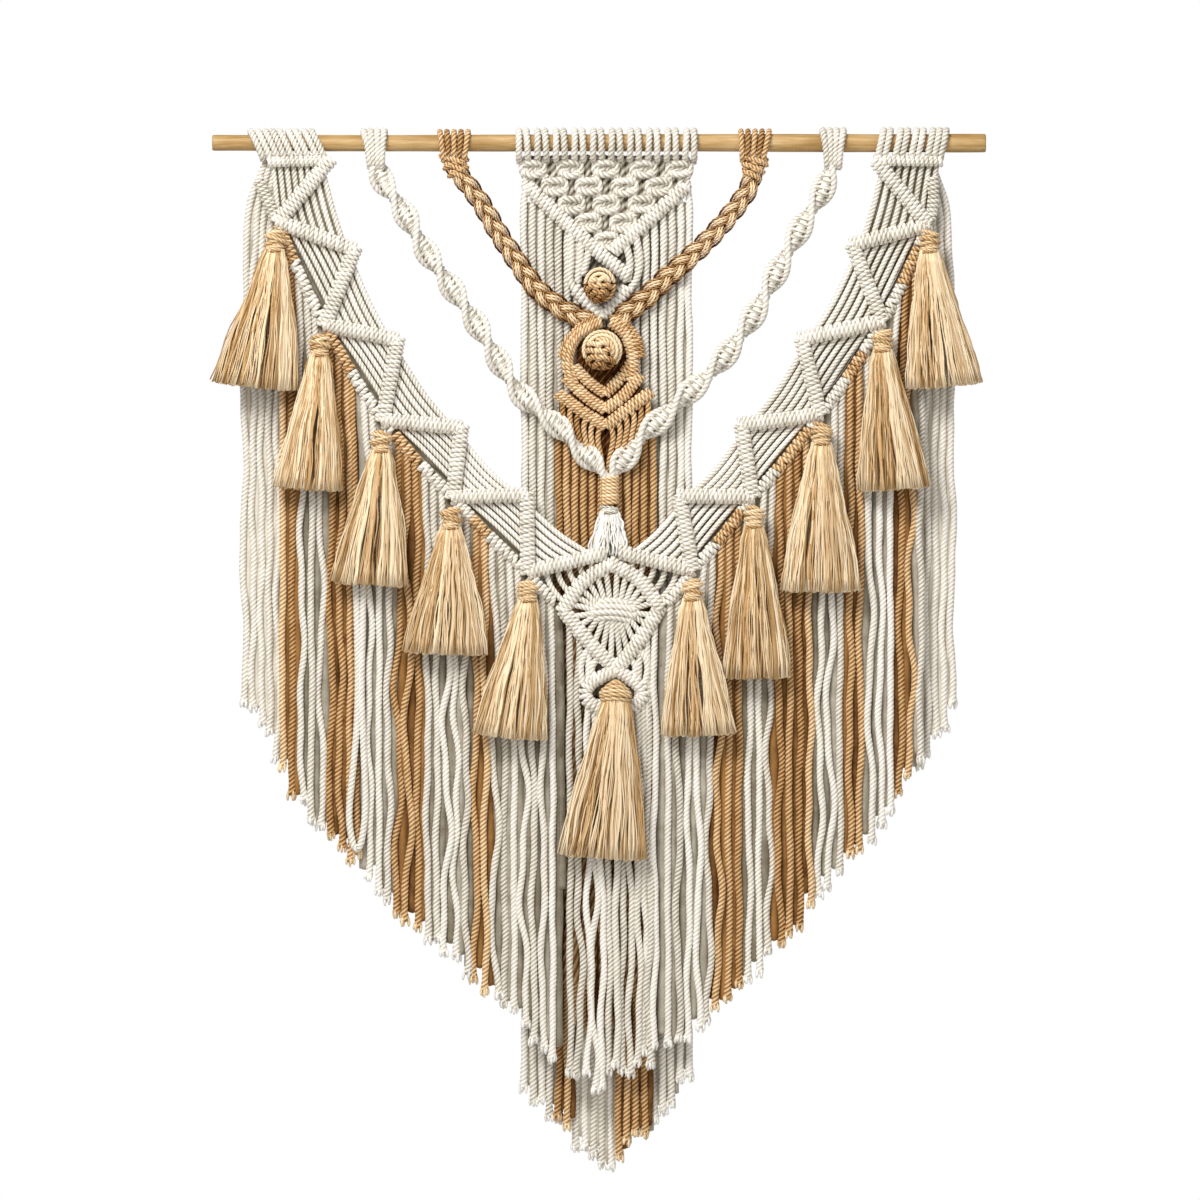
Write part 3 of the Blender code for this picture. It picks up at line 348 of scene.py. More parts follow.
def rodLeg(skein, topX, footX, footZ, footY, tone=None, radius=2.35):
    # A cord from its foot under the rod, up the front, over the top and down behind
    r = rodRadius(topX) + radius + 0.2
    lean = footX - topX
    points = [(footX, footY, footZ), (footX - lean * 0.12, (footY - r) * 0.6, footZ * 0.72)]
    for angle in np.radians(np.arange(200, -21, -20)):
        share = 0.5 - 0.5 * sin(angle) if angle > pi / 2 else 0.0
        points.append((topX + lean * share * 0.9, r * cos(angle), r * sin(angle)))
    skein.follow(points, radius, tone=tone, facing=(0.3, -1, 0.2))


# Rod
rod = {
    "slices": 90, "sides": 30,
    "rim": ((0.15, 0.86), (0.5, 0.95), (1.2, 0.99)),  # rounded ends: how far in, share of the radius
}


def makeRod():
    skein = Skein()
    x0, x1 = hanging["rodEnds"]
    inset, share = np.transpose(rod["rim"])
    xs = np.concatenate([x0 + inset, np.linspace(x0 + 4, x1 - 4, rod["slices"]), x1 - inset[::-1]])
    radius = np.interp(xs, hanging["rodEnds"], hanging["rodRadii"])
    radius *= 1 + 0.008 * np.sin(xs / 17) + 0.006 * np.sin(xs / 6.1 + 1)
    radius[:len(share)] *= share
    radius[-len(share):] *= share[::-1]
    path = np.stack([xs, 0.12 * np.sin(xs / 41), 0.15 * np.sin(xs / 53 + 1)], 1)
    skein.cord(path, radius, sides=rod["sides"], relief=0, tip=0.02)
    skein.piece("rod", "wood", "rodTurned")


# Zigzag bands
bands = {
    "left": {
        "corners": (
            (-224.7, -13), (-185, -12), (-219.3, -52.7), (-168, -71.3), (-188, -121.3), (-139.3, -131.3),
            (-149.3, -184.7), (-96.7, -190), (-102.7, -236), (-53.3, -234.7), (-52.7, -286), (-2.6, -273.6),
        ),
        "onRod": (-237.5, -232.7, -227.7, -223, -218.2, -212.4, -207.6, -201.8, -197), "feet": (-229, -188),
        "edge": ((-232, -25.5), (-226.5, -38), (-221, -50)), "lastEdge": (-29.3, -311),
        "drawn": 0.9,
    },
    "right": {
        "corners": (
            (222, -12.5), (179, -12), (214, -54.7), (163.3, -68), (183.3, -119.3), (129.3, -130.7),
            (142, -181.3), (89.3, -188), (96.7, -236), (48, -235.3), (56.7, -284.7), (9.2, -272.8),
        ),
        "onRod": (226.2, 221.8, 217.4, 211, 206.4, 200.6, 196, 189, 184.4), "feet": (222, 180),
        "edge": ((217, -24), (217.5, -38), (215.5, -51)), "lastEdge": (35.3, -311),
        "drawn": 0.97,
    },
}
fan = {
    "cords": 7, "radius": 2.35, "margin": 4.2,  # cords between two bars, and the room left at a bar's ends
    "thinner": {True: 0.5, False: 0.3},  # by how much, beside the fringe and elsewhere
    "sag": {True: 0.015, False: -0.05},  # share of a cord's length, likewise
    # rear: the row behind the gaps, darkened with painted shade on its near side
    "rear": {"radius": 2.6, "depth": -4.4, "shaded": 1.55},  # the darker row behind the gaps
    "barRadius": 3.9, "topBarRadius": 2.4,
}


def bandPoint(x, z, forward=0.0):
    return np.array([x, bandDepth(z) - forward, z])


def barPoint(corners, leg, cord):
    (ax, az), (bx, bz) = corners[leg], corners[leg + 1]
    length = hypot(bx - ax, bz - az)
    share = (fan["margin"] + (length - 2 * fan["margin"]) * (cord + 0.5) / fan["cords"]) / length
    return ax + (bx - ax) * share, az + (bz - az) * share


def makeFan(skein, side, leg):
    # The cords between two bars that meet at a corner, less the shortest, and a row behind their gaps that
    # is darkened with painted shade
    corners, last = bands[side]["corners"], fan["cords"] - 1
    low = leg % 2 == 0  # this fan's long cords lie beside the fringe, drawn away from it at their lower ends
    front, rear = np.arange(0.0 if leg else -1.0, last + 1), np.arange(-0.5 if low else 0.5, last)
    for back, steps in ((False, front), (True, rear)):
        drawn = bands[side]["drawn"] if low and leg and not back else 1.0
        for step in steps:
            a, b = barPoint(corners, leg, step), barPoint(corners, leg + 1, (last - step) * drawn)
            length = dist(a, b)
            if length < (5 if back else 9):
                continue
            start, end = (bandPoint(*p, fan["rear"]["depth"] if back else -0.6) for p in (a, b))
            sag = fan["sag"][low and not back] * length * (1 - 0.6 * step / fan["cords"])
            middle = (start + end) / 2 + (0, -0.5 + vary(-0.3, 0.3), sag)
            if back:
                skein.follow([start, middle, end], fan["rear"]["radius"], 5.0, sides=5, relief=0, tone=0.3,
                             shaded=fan["rear"]["shaded"])
            else:
                skein.follow([start, middle, end], fan["radius"] - fan["thinner"][low] - 0.01 * leg,
                             tone=vary(0.3, 0.8) + 0.04 * leg)


def makeBand(side):
    skein = Skein()
    plan = bands[side]
    corners = plan["corners"]
    for leg in range(len(corners) - 1):
        start, end = bandPoint(*corners[leg], 2.6), bandPoint(*corners[leg + 1], 2.6)
        bar(skein, [start, (start + end) / 2 + (0, -0.8, 0), end],
            around=fan["barRadius"] if leg else fan["topBarRadius"])
    for leg in range(len(corners) - 2):
        makeFan(skein, side, leg)
    for x in plan["onRod"]:  # in pairs, with a little wood showing between them
        foot = np.interp(x, sorted((plan["onRod"][0], plan["onRod"][-1])), sorted(plan["feet"]))
        rodLeg(skein, x, foot, -11.5, -2.0)
    bar(skein, [bandPoint(*point, 1.8) for point in plan["edge"]], around=2.9, cord=1.5, tone=0.4)
    skein.piece("band_" + side, "cream_cotton")


# Fringe
fringes = {  # groups: strip and kind, first strand's x, strands. Strip 1 starts at corner 2, strip 2 at 4
    "left": {
        "groups": (
            ("1_brown", -216.9, 2), ("1_cream", -205.7, 3), ("2_brown", -184.5, 3), ("2_cream", -167.7, 3),
            ("3_outer", -145.3, 1), ("3_brown", -139, 3), ("3_cream", -121.3, 3), ("4_outer", -98.6, 2),
            ("4_brown", -87.5, 2), ("4_cream", -76.2, 4), ("5_cream", -48.7, 3),
        ),
        "hem": (-216.2, -36.2), "outer": -241.8, "pitch": 5.6,
    },
    "right": {
        "groups": (
            ("1_outer", 210.9, 1), ("1_brown", 205.2, 2), ("1_cream", 193.9, 1), ("2_outer", 179.2, 2),
            ("2_brown", 168, 2), ("2_cream", 156.8, 2), ("3_outer", 138.3, 1), ("3_brown", 132.5, 4),
            ("3_cream", 110, 2), ("4_outer", 92.9, 1), ("4_brown", 87.2, 3), ("4_cream", 70, 2),
            ("5_cream", 53.3, 3),
        ),
        "hem": (209, 40.6), "outer": 230, "pitch": -5.6,
    },
}
strip = {
    "turn": 3.6, "turnRadius": (2.4, 3), "turnCord": (1.65, 1.95), "turnSlant": (-0.1, 0.5),  # lark's heads
    "unevenHem": (-5, 5), "wander": (0.6, 1.1, 1.7, 2.7),
    # shaded: painted shade on the near side of the rear cords, for brown and cream
    "rearRadius": 3.9, "closingRadius": 3.6, "rearLay": 2.4, "shaded": {"brown": 1.3, "cream": 1.5},
    "outerCords": 5, "outerRearRadius": 3.1,
    "loopGroup": ("left", "2_cream"),  # its first cord hangs doubled, in a long narrow loop
    "loop": ((-167.5, -282), (-166, -335), (-166, -380), (-168.8, -415), (-171.6, -447),
             (-169.5, -465), (-166.4, -470.6), (-163, -463), (-160.8, -440), (-162.2, -400),
             (-163.4, -365), (-162.6, -320), (-162, -282)),
    "behindLoopGroup": ("left", "2_brown"),
    "behindLoop": ((-170, -160), (-167, -300), (-166.5, -474)),
}


def stripEdge(side, corner, x):
    # Depth and height of the line that a strip hangs from
    corners = bands[side]["corners"]
    start = corners[corner]
    end = corners[corner + 2] if corner + 2 < len(corners) - 1 else bands[side]["lastEdge"]
    share = (x - start[0]) / (end[0] - start[0])
    length = dist(start, end)
    out = 0.2 + 1.2 * sin(pi * min(max(share, 0.0), 1.0))
    z = start[1] + (end[1] - start[1]) * share - out * length / abs(end[0] - start[0])
    return bandDepth(z), z


def makeHeads(skein, side, corner, first, reach, steps):
    # The lark's heads of a group, turn beside turn along the edge
    edge = []
    for step in np.linspace(-0.5, reach, steps):
        x = first + step * fringes[side]["pitch"]
        y, z = stripEdge(side, corner, x)
        edge.append((x, y - 1.2, z))
    edge = curve(edge, strip["turn"])
    for start, along in zip(edge, np.diff(edge, axis=0)):
        wrap(skein, start + along / 2, along, vary(*strip["turnRadius"]), vary(*strip["turnCord"]),
             vary(*strip["turnSlant"]), flat=0.8, tone=vary(0.4, 0.9))


def makeFringe(side):
    plan = fringes[side]
    pitch = plan["pitch"]
    hand = copysign(1, pitch)
    hems = iter(np.linspace(*plan["hem"], sum(count for _, _, count in plan["groups"])))
    starts = [2 * int(name[0]) for name, _, _ in plan["groups"]]
    for (name, first, count), corner, after in zip(plan["groups"], starts, starts[1:] + [None]):
        skein = Skein()
        colour = "brown" if name.endswith("brown") else "cream"
        # rear cords get painted shade on their near sides, where they lie behind the front ones
        rearLook = {"wander": 0.3, "frayed": False, "shaded": strip["shaded"][colour]}
        reach = count - 0.5
        if after not in (corner, None):  # the strip runs on to the next corner
            reach = max(reach, (bands[side]["corners"][after][0] - first) / pitch - 0.3)
        makeHeads(skein, side, corner, first, reach, 2 * count + 1)
        for number in range(count):
            x = first + number * pitch
            hemX = next(hems)
            y, z = stripEdge(side, corner, x)
            hem = between(hanging["frontHem"], hemX) + vary(*strip["unevenHem"])
            ahead = y + vary(-1.8, 1.2)
            front = [(x, y, z), (x, y - 0.5, z - 6), ((x + hemX) / 2, y + 0.5, z - 40), (hemX, ahead, z - 80),
                     (hemX, ahead, hem)]
            if number or (side, name) != strip["loopGroup"]:
                strand(skein, front, wander=chance.choice(strip["wander"]))
            rearX = hemX + pitch * 0.55 + vary(-0.3, 0.3)
            rear = [(x + pitch / 2, y + 2.8, z - 3), (rearX, y + 4.0, z - 75),
                    (rearX, y + 4.0, hem + vary(-2, 9))]
            strand(skein, rear, vary(0.1, 0.6), radius=strip["rearRadius"], step=strip["rearLay"], **rearLook)
        if after != corner:  # one more rear cord closes the strip's end
            x = first + (count - 0.5) * pitch
            back, z = stripEdge(side, corner, x)
            closing = [(x + hand * 1.5, back + 3.5, z - 1), (x + hand * 3.0, back + 4.4, z - 60),
                       (hemX + hand * 5.5, back + 4.4, z - 190)]
            strand(skein, closing, 0.3, radius=strip["closingRadius"], step=3.0, **rearLook)
        if (side, name) == strip["loopGroup"]:
            skein.follow(standing(strip["loop"], y - 4.0), tone=0.7)
        if (side, name) == strip["behindLoopGroup"]:
            strand(skein, standing(strip["behindLoop"], y), tone=0.4, wander=0.5)
        skein.piece(f"fringe_{side}_{name}", colour + "_cotton")
    makeOuterCords(side)


def makeOuterCords(side):
    # The cords outside the band, straight from the rod to the hem
    skein = Skein()
    hemX, pitch = fringes[side]["outer"], fringes[side]["pitch"]
    for number in range(strip["outerCords"]):
        x = hemX + number * pitch
        hem = between(hanging["frontHem"], x) + vary(*strip["unevenHem"])
        inwards = copysign(1 - number / 9, pitch)  # from the hem's x to the rod's, less for each cord
        path = [(x + inwards * 15, 2.6, -12), (x + inwards * 10.5, 2.0, -22), (x + inwards * 4.5, 2.4, -40),
                (x + inwards * 1.2, 3.2, -64), (x, 3.4, -110), (x, 3.4, (hem - 110) / 2), (x, 3.4, hem)]
        strand(skein, path, tone=vary(0.55, 0.85))
        # a rear cord behind each gap, with painted shade on its near side
        rear = [(px + pitch / 2, py + 3.6, pz) for px, py, pz in path]
        strand(skein, rear, tone=0.5, wander=0.5, radius=strip["outerRearRadius"], step=strip["rearLay"],
               frayed=False, shaded=0.9)
    skein.piece(f"fringe_{side}_outer", "cream_cotton")


# Tassels
tassels = {
    "places": (  # name, head's x, top, hem's height, hem's left and right
        ("L1", -221.3, -57.5, -163, -262.7, -206), ("L2", -191.3, -127, -231, -222, -175.3),
        ("L3", -150.3, -191, -294.5, -184, -132), ("L4", -103.7, -242, -340.5, -136.7, -78),
        ("L5", -52.7, -290.5, -396, -88.7, -40.3), ("R1", 214.7, -58, -162.5, 198.7, 250.7),
        ("R2", 183.3, -124, -231, 166, 215.3), ("R3", 142.7, -186, -299, 115.3, 169.3),
        ("R4", 97.7, -241, -356.5, 77.3, 122.7), ("R5", 56.7, -289.5, -394.5, 36, 86),
        ("centre", 5.7, -357, -476, -32.7, 25.3),
    ),
    "ahead": 12,  # of the fringe
    "smallPlace": ("small", 1.7, -240.5, -275.5, -12, 14), "smallDepth": -6.2,
    # deep is half the depth, headHalf half the head's width; layers say how far out and how many yarns lie
    "gold": {"deep": 7, "slot": "gold_yarn", "headHalf": 6.6, "neck": 14,
             "layers": ((1, 120), (0.88, 44), (0.8, 24)), "yarn": 0.5, "light": 0.2},
    "centre": {"headHalf": 10, "neck": 14.5, "light": -0.05},  # what differs
    "small": {"deep": 3.6, "slot": "cream_cotton", "headHalf": 6, "neck": 5, "layers": ((1, 46), (0.7, 16)),
              "yarn": 0.85, "light": 1},
    "locks": 13, "coreShare": 0.72,
    "turban": (0.58, 0.84, 0.96, 0.98, 0.88),  # widths of the large head, from the top
    "binding": (0.9, 0.7, -0.4),  # tones of the turns round the neck
    "stations": (0, 0.07, 0.17, 0.28, 0.4, 0.52, 0.64, 0.76, 0.88, 1),  # along a yarn
    "spread": ((0, 0), (0.07, 0.13), (0.36, 0.43), (0.65, 0.75), (0.94, 0.97), (1, 1)),  # widths
    "innerYarn": ((0, 2), (4, 3.3), (10, 4)),  # at points of the innermost, which close the gaps
}


def makeTasselHead(skein, headX, y, top, look):
    headHalf, neck = look["headHalf"], look["neck"]
    steps = np.linspace(0, 1, 9)
    rounded = np.sqrt(np.clip(1.08 - (1 - 1.35 * steps) ** 2, 0.1, 1))
    skein.cord(stem(headX, y, top - 1.0 - (neck - 1.0) * steps), headHalf * tassels["coreShare"] * rounded,
               sides=12, relief=0, tone=-0.3)
    broad = headHalf > 8  # a plain turban of arched cords; the others have a knot of yarn and a binding
    rows = len(tassels["turban"]) if broad else int(neck / 2.1)
    for row in range(rows):
        share = (row + 0.5) / rows
        if broad:
            swell, slant = tassels["turban"][row], vary(-0.06, 0.06)
        else:
            swell = 0.6 + 0.42 * sin(pi * min(share * 1.15, 1)) - 0.1 * share
            slant = chance.choice((-1, 1)) * vary(0.05, 0.32)
        wrap(skein, (headX + vary(-0.4, 0.4), y, top - 1.4 - (neck - 1.5) * share), upright,
             headHalf * swell, 1.45 if broad else 1.3, slant, flat=0.8, segments=22, tone=vary(0.2, 1.1),
             arch=3.0 - 2.4 * share if broad else vary(0.0, 1.2), relief=0.18)
    if not broad:
        for number, tone in enumerate(tassels["binding"]):
            wrap(skein, (headX, y, top - neck + 1.6 - number * 1.5), upright, headHalf * 0.86, 0.85,
                 0.06 * (-1) ** number, flat=0.85, segments=18, tone=tone)


def makeTassel(name, headX, top, hem, left, right, y, look):
    skein = Skein()
    makeTasselHead(skein, headX, y, top, look)
    hemX, hemHalf, headHalf = (left + right) / 2, (right - left) / 2, look["headHalf"]
    neckZ = top - look["neck"]
    lean = (headX - hemX) / (neckZ - hem)
    shares = np.array(tassels["stations"])
    spread = np.interp(shares, *zip(*tassels["spread"]))
    lockCount = tassels["locks"]
    locks = [(vary(-0.5, 0.6), vary(-0.9, 0.9), vary(0.5, 1.3)) for _ in range(lockCount)]
    for layer, (reach, count) in enumerate(look["layers"]):
        for number in range(count):
            place = (number + vary()) / count * lockCount + 0.4 * layer
            shade, drift, bend = locks[int(place) % lockCount]  # yarns of one lock lie and bend together
            inLock = place % 1 - 0.5
            low = reach * vary(0.93, 1.02) * (1 - 0.1 * (2 * inLock) ** 2)
            rise = vary(-0.8, 0.8)
            side = cos(2 * pi * place / lockCount) * low
            cut = 1.2 * side ** 4 - 0.75 * lean * hemHalf * side
            wobble, beat = vary(0.3, 1.1), vary(0, 6)
            path = []
            for share, out in zip(shares, spread):
                gather = 1 - 0.16 * sin(pi * min(share * 0.9, 1))
                angle = 2 * pi * (int(place) + 0.5 + inLock * gather) / lockCount
                half = (headHalf * 0.8 + (hemHalf - headHalf * 0.8) * out) * (1 if share < 0.1 else low)
                thin = headHalf * 0.66 + (look["deep"] * low - headHalf * 0.66) * out
                x = headX + (hemX - headX) * share ** 1.15
                swing = drift * sin(pi * share * bend) + wobble * sin(13 * share + beat)
                path.append((x + half * cos(angle) + swing + vary(-0.4, 0.4) * (share > 0),
                             y + thin * sin(angle), neckZ - (neckZ - hem - rise - cut) * share))
            line = curve(path, count=11)
            inner = layer > 1
            thick = look["yarn"] * (np.interp(np.arange(len(line)), *zip(*tassels["innerYarn"])) if inner
                                    else vary(0.8, 1.25))
            # yarns at the edges of a lock are darker: painted shade in the slits between locks
            tone = look["light"] + shade - 0.7 * abs(inLock) + vary(-0.8, 1.1) + 0.05 * layer
            skein.cord(line, thick, (cos(angle), sin(angle), 0), sides=3, relief=0, tone=tone)
    skein.piece("tassel_" + name, look["slot"])


# Braids and half-knot spirals
braids = {
    "left": {"route": ((-103.5, -13), (-96, -24), (-84.7, -39), (-72, -60.7), (-59.3, -80),
                       (-46.7, -97.5), (-31, -110), (-19, -116), (-9, -121.5)), "onRod": -102},
    "right": {"route": ((97.5, -13), (95.3, -28), (86, -43), (68.7, -63.3), (53.3, -78),
                        (38, -91.5), (25, -104), (14, -112.5), (5, -121.5)), "onRod": 98.7},
    "period": 36.5, "half": 3.5, "deep": 2.3, "cord": 0.8, "depth": -6,
    "loops": {"count": 5, "top": 23.5, "foot": 17.5, "z": -12.5, "y": -3.4, "radius": 1.95,
              "tones": (0.6, 0.1)},
}
spirals = {  # neck is where the ribbon stands on edge, and lobe how far it is to the next such place
    "left": {"route": ((-154, -13), (-148.7, -27), (-137.3, -43), (-120.7, -72), (-105.3, -94),
                       (-88.7, -118), (-74.7, -141.3), (-60.3, -164.3), (-45.3, -178.7), (-31.3, -190),
                       (-18, -204.3), (-7, -214.5), (0.4, -224)), "onRod": -155.3, "hand": 1,
             "neck": 55.5, "lobe": 28.9},
    "right": {"route": ((150.7, -13), (143.3, -32.7), (130.7, -54), (118, -77.3), (108, -96),
                        (96.7, -116.7), (80.7, -139.7), (68.7, -153.7), (52.7, -168.3), (38, -182.3),
                        (25.3, -193.3), (14, -208), (7, -215.5), (3, -224)), "onRod": 150.7, "hand": -1,
              "neck": 35, "lobe": 32.1},
    "knot": 8.2, "half": 6.2, "thin": 2.9, "depth": -6.9, "flatten": 0.8,
    "core": 3.2, "edge": 2.3, "wrapping": 1.6,  # radii of its cords
    "loops": {"count": 4, "top": 18.5, "foot": 10, "z": -17, "y": -3, "radius": 2.35, "tones": (None, None)},
}


def alongRoute(route, step, depth, ease):
    flat = curve(route, step)
    way = unit(np.gradient(flat, axis=0))
    run = np.arange(len(flat)) * (np.linalg.norm(np.diff(flat, axis=0), axis=1).mean())
    y = -0.8 + (depth + 0.8) * np.minimum(run / ease, 1.0)
    line = np.stack([flat[:, 0], y, flat[:, 1]], 1)
    across = np.stack([-way[:, 1], 0 * y, way[:, 0]], 1)
    return line, across, run


def hangOnRod(skein, topX, footX, count, top, foot, z, y, radius, tones):
    # Loops side by side over the rod, drawn together at their feet
    for loop in range(count):
        share = (loop + 0.5) / count - 0.5
        rodLeg(skein, topX + share * top, footX + share * foot, z, y, tones[loop % 2], radius)


def makeBraid(side):
    # A three-strand plait, each strand four fine cords laid side by side
    skein = Skein()
    onRod = braids[side]["onRod"]
    line, across, run = alongRoute(braids[side]["route"], 1.4, braids["depth"], 19.0)
    along = np.cross(across, viewer)
    grow = 1.02 + 0.12 * run / run[-1]
    for lock in range(3):
        phase = 2 * pi * (run / braids["period"] + lock / 3)
        spread = braids["half"] * np.sin(phase) * grow
        deep = braids["deep"] * np.sin(2 * phase)
        slope = np.gradient(spread, run)
        lean = np.sqrt(1 + slope ** 2)
        for place in (-1.5, -0.5, 0.5, 1.5):
            gap = place * 1.62 * grow
            path = (line + across * (spread + gap / lean)[:, None] + along * (-gap * slope / lean)[:, None]
                    + viewer * (deep - 0.3 * place ** 2)[:, None])
            # lighter where a strand comes forward and darker where it passes under, and its outer cords
            # darker: painted light and shade
            tone = 0.75 + 0.7 * deep / braids["deep"] + vary(-0.25, 0.25) - 1.1 * (abs(place) > 1)
            skein.cord(path, braids["cord"] * grow, tone=tone, relief=0.24)
    hangOnRod(skein, onRod, line[2, 0], **braids["loops"])
    for number in range(5):  # the plies that cross under the rod, in front of the loops' ends
        x = onRod + (line[6, 0] - onRod) * number / 4
        high = -8.6 - 2.5 * number
        half = (9.6 - 0.9 * number) * (-1) ** number
        path = [(x - half, -3.4, high), (x - half * 0.4, -6.6, high - 1.8),
                (x + half * 0.4, -6.6, high - 4.0), (x + half * 0.85, -3.2, high - 6.6)]
        skein.follow(path, 1.9, 1.2, tone=0.7 - 0.3 * (number % 2), relief=0.2)
    skein.piece("braid_" + side, "brown_cotton")


def makeSpiral(side):
    skein = Skein()
    plan = spirals[side]
    line, across, run = alongRoute(plan["route"], 1.5, spirals["depth"], 40.0)
    turn = plan["hand"] * pi * ((run - plan["neck"]) / plan["lobe"] + 0.5)
    close = np.interp(run, (0, 6, run[-1] - 12, run[-1]), (0.8, 1.0, 1.0, 0.35))  # narrower at both ends

    def around(u, v):
        u, v = u * close, v * close
        out = u * np.cos(turn) - v * np.sin(turn)
        deep = u * np.sin(turn) + v * np.cos(turn)
        return line + across * out[:, None] + viewer * (deep * spirals["flatten"])[:, None]

    skein.cord(around(0 * run, 0 * run), spirals["core"], relief=0, tone=0.2)
    for edge in (-1, 1):  # the cords that lie along the ribbon's edges
        skein.cord(around(edge * spirals["half"] + 0 * run, 0 * run), spirals["edge"], relief=0.07, tone=0.7)
    for start in (0.0, pi):  # the half knots, turn after turn across it
        phase = 2 * pi * run / spirals["knot"] + start
        skein.cord(around((spirals["half"] - 1.2) * np.cos(phase), spirals["thin"] * np.sin(phase)),
                   spirals["wrapping"], tone=0.45, relief=0.1)
    hangOnRod(skein, plan["onRod"], line[0, 0], **spirals["loops"])
    skein.piece("spiral_" + side, "cream_cotton")


# Centre panel
panel = {
    "loops": 10, "pitch": 12.43, "centre": -0.3, "legPitch": 4.9, "cordPitch": 6.1, "taper": 0.93,
    "knotSize": 1.1, "depth": 1, "rear": 7.2,
    "apex": (-1, -78), "ends": 54, "endHeight": -29.5, "firstRow": -17, "row": 12.2, "rows": 5,
    "arms": (((-51, -31), (-27, -53.5), (-2, -76), (13.5, -88.5)), ((51.5, -30), (28, -51), (4, -72))),
    "smallArms": (((-20.5, -98), (-12.5, -106.5), (-3.6, -115)),
                  ((13.5, -97.5), (5, -106.5), (-3, -115))),
    "berryLoops": (
        ((-24, -61), (-24, -79), (-24.6, -91), (-21, -99)), ((-17.5, -67), (-18, -79), (-19.3, -93)),
        ((19.5, -63), (22, -79), (19.6, -91), (15, -98)), ((12.7, -68), (15.2, -79), (14, -92)),
        ((-12, -70), (-13.4, -78), (-15.6, -88)),
    ),
    "inner": range(4, 16),  # strands that hang behind the brown ones
    "underBerry": range(7, 13), "berryRoot": -98,  # strands that come out from under the upper berry
}


def vHeight(x):
    ax, az = panel["apex"]
    return az + (panel["endHeight"] - az) * min(abs(x - ax) / panel["ends"], 1.0)


def narrow(x, z):
    return x * float(np.interp(-z, (12, 28), (1.0, panel["taper"])))


def squareKnot(skein, x, z, y):
    # Front of a square knot: two half knots whose cords arch across, and the cords that turn at its sides
    size = panel["knotSize"]
    for low, tilt in ((2.9, vary(0.8, 2.2)), (-2.9, vary(-2.2, -0.8))):
        path = [(x - 6.6 * size, y + 1.2, z + low - tilt), (x - 3.6 * size, y - 2.0, z + low + 0.5 * tilt),
                (x, y - 3.0, z + low + tilt), (x + 3.6 * size, y - 2.2, z + low + 0.6 * tilt),
                (x + 6.6 * size, y + 1.2, z + low - 0.4 * tilt)]
        skein.follow(path, 2.35, 1.7, tone=vary(0.25, 0.75))
    for side in (-size, size):
        path = [(x + side * 4.4, y + 0.6, z + 7.2), (x + side * 6.6, y - 0.6, z + 2.5),
                (x + side * 6.9, y - 0.9, z - 1.5), (x + side * 4.6, y + 0.8, z - 7.0)]
        skein.follow(path, 2.1, 1.7, tone=vary(0.1, 0.6))


def makeNet(skein, xs):
    # Alternating square knots, and the cords that run through them and lean over to the next ones
    y = panel["depth"]
    knots = []  # the first of the four cords that each one ties, and its place
    for row in range(panel["rows"]):
        z = panel["firstRow"] - row * panel["row"]
        for first in range(2 * (row % 2), len(xs) - 3, 4):
            x = narrow(sum(xs[first:first + 4]) / 4, z) + vary(-0.7, 0.7)
            if z - 4 > vHeight(x):
                knots.append((first, x, z))
                squareKnot(skein, x, z + vary(-0.5, 0.5), y)
    for cord, start in enumerate(xs):
        stops = [(narrow(start, -12), y + 0.6, -12.0)]
        stops += [(x + (cord - first - 1.5) * 2.9, y + 0.9, z) for first, x, z in knots
                  if first <= cord < first + 4]
        last = narrow(start, -60)
        end = max(vHeight(last) - 1, -79)
        if stops[-1][2] > end + 5:
            stops.append((last, y + 0.6, end))
        if len(stops) > 1:
            skein.follow(stops, 2.35)


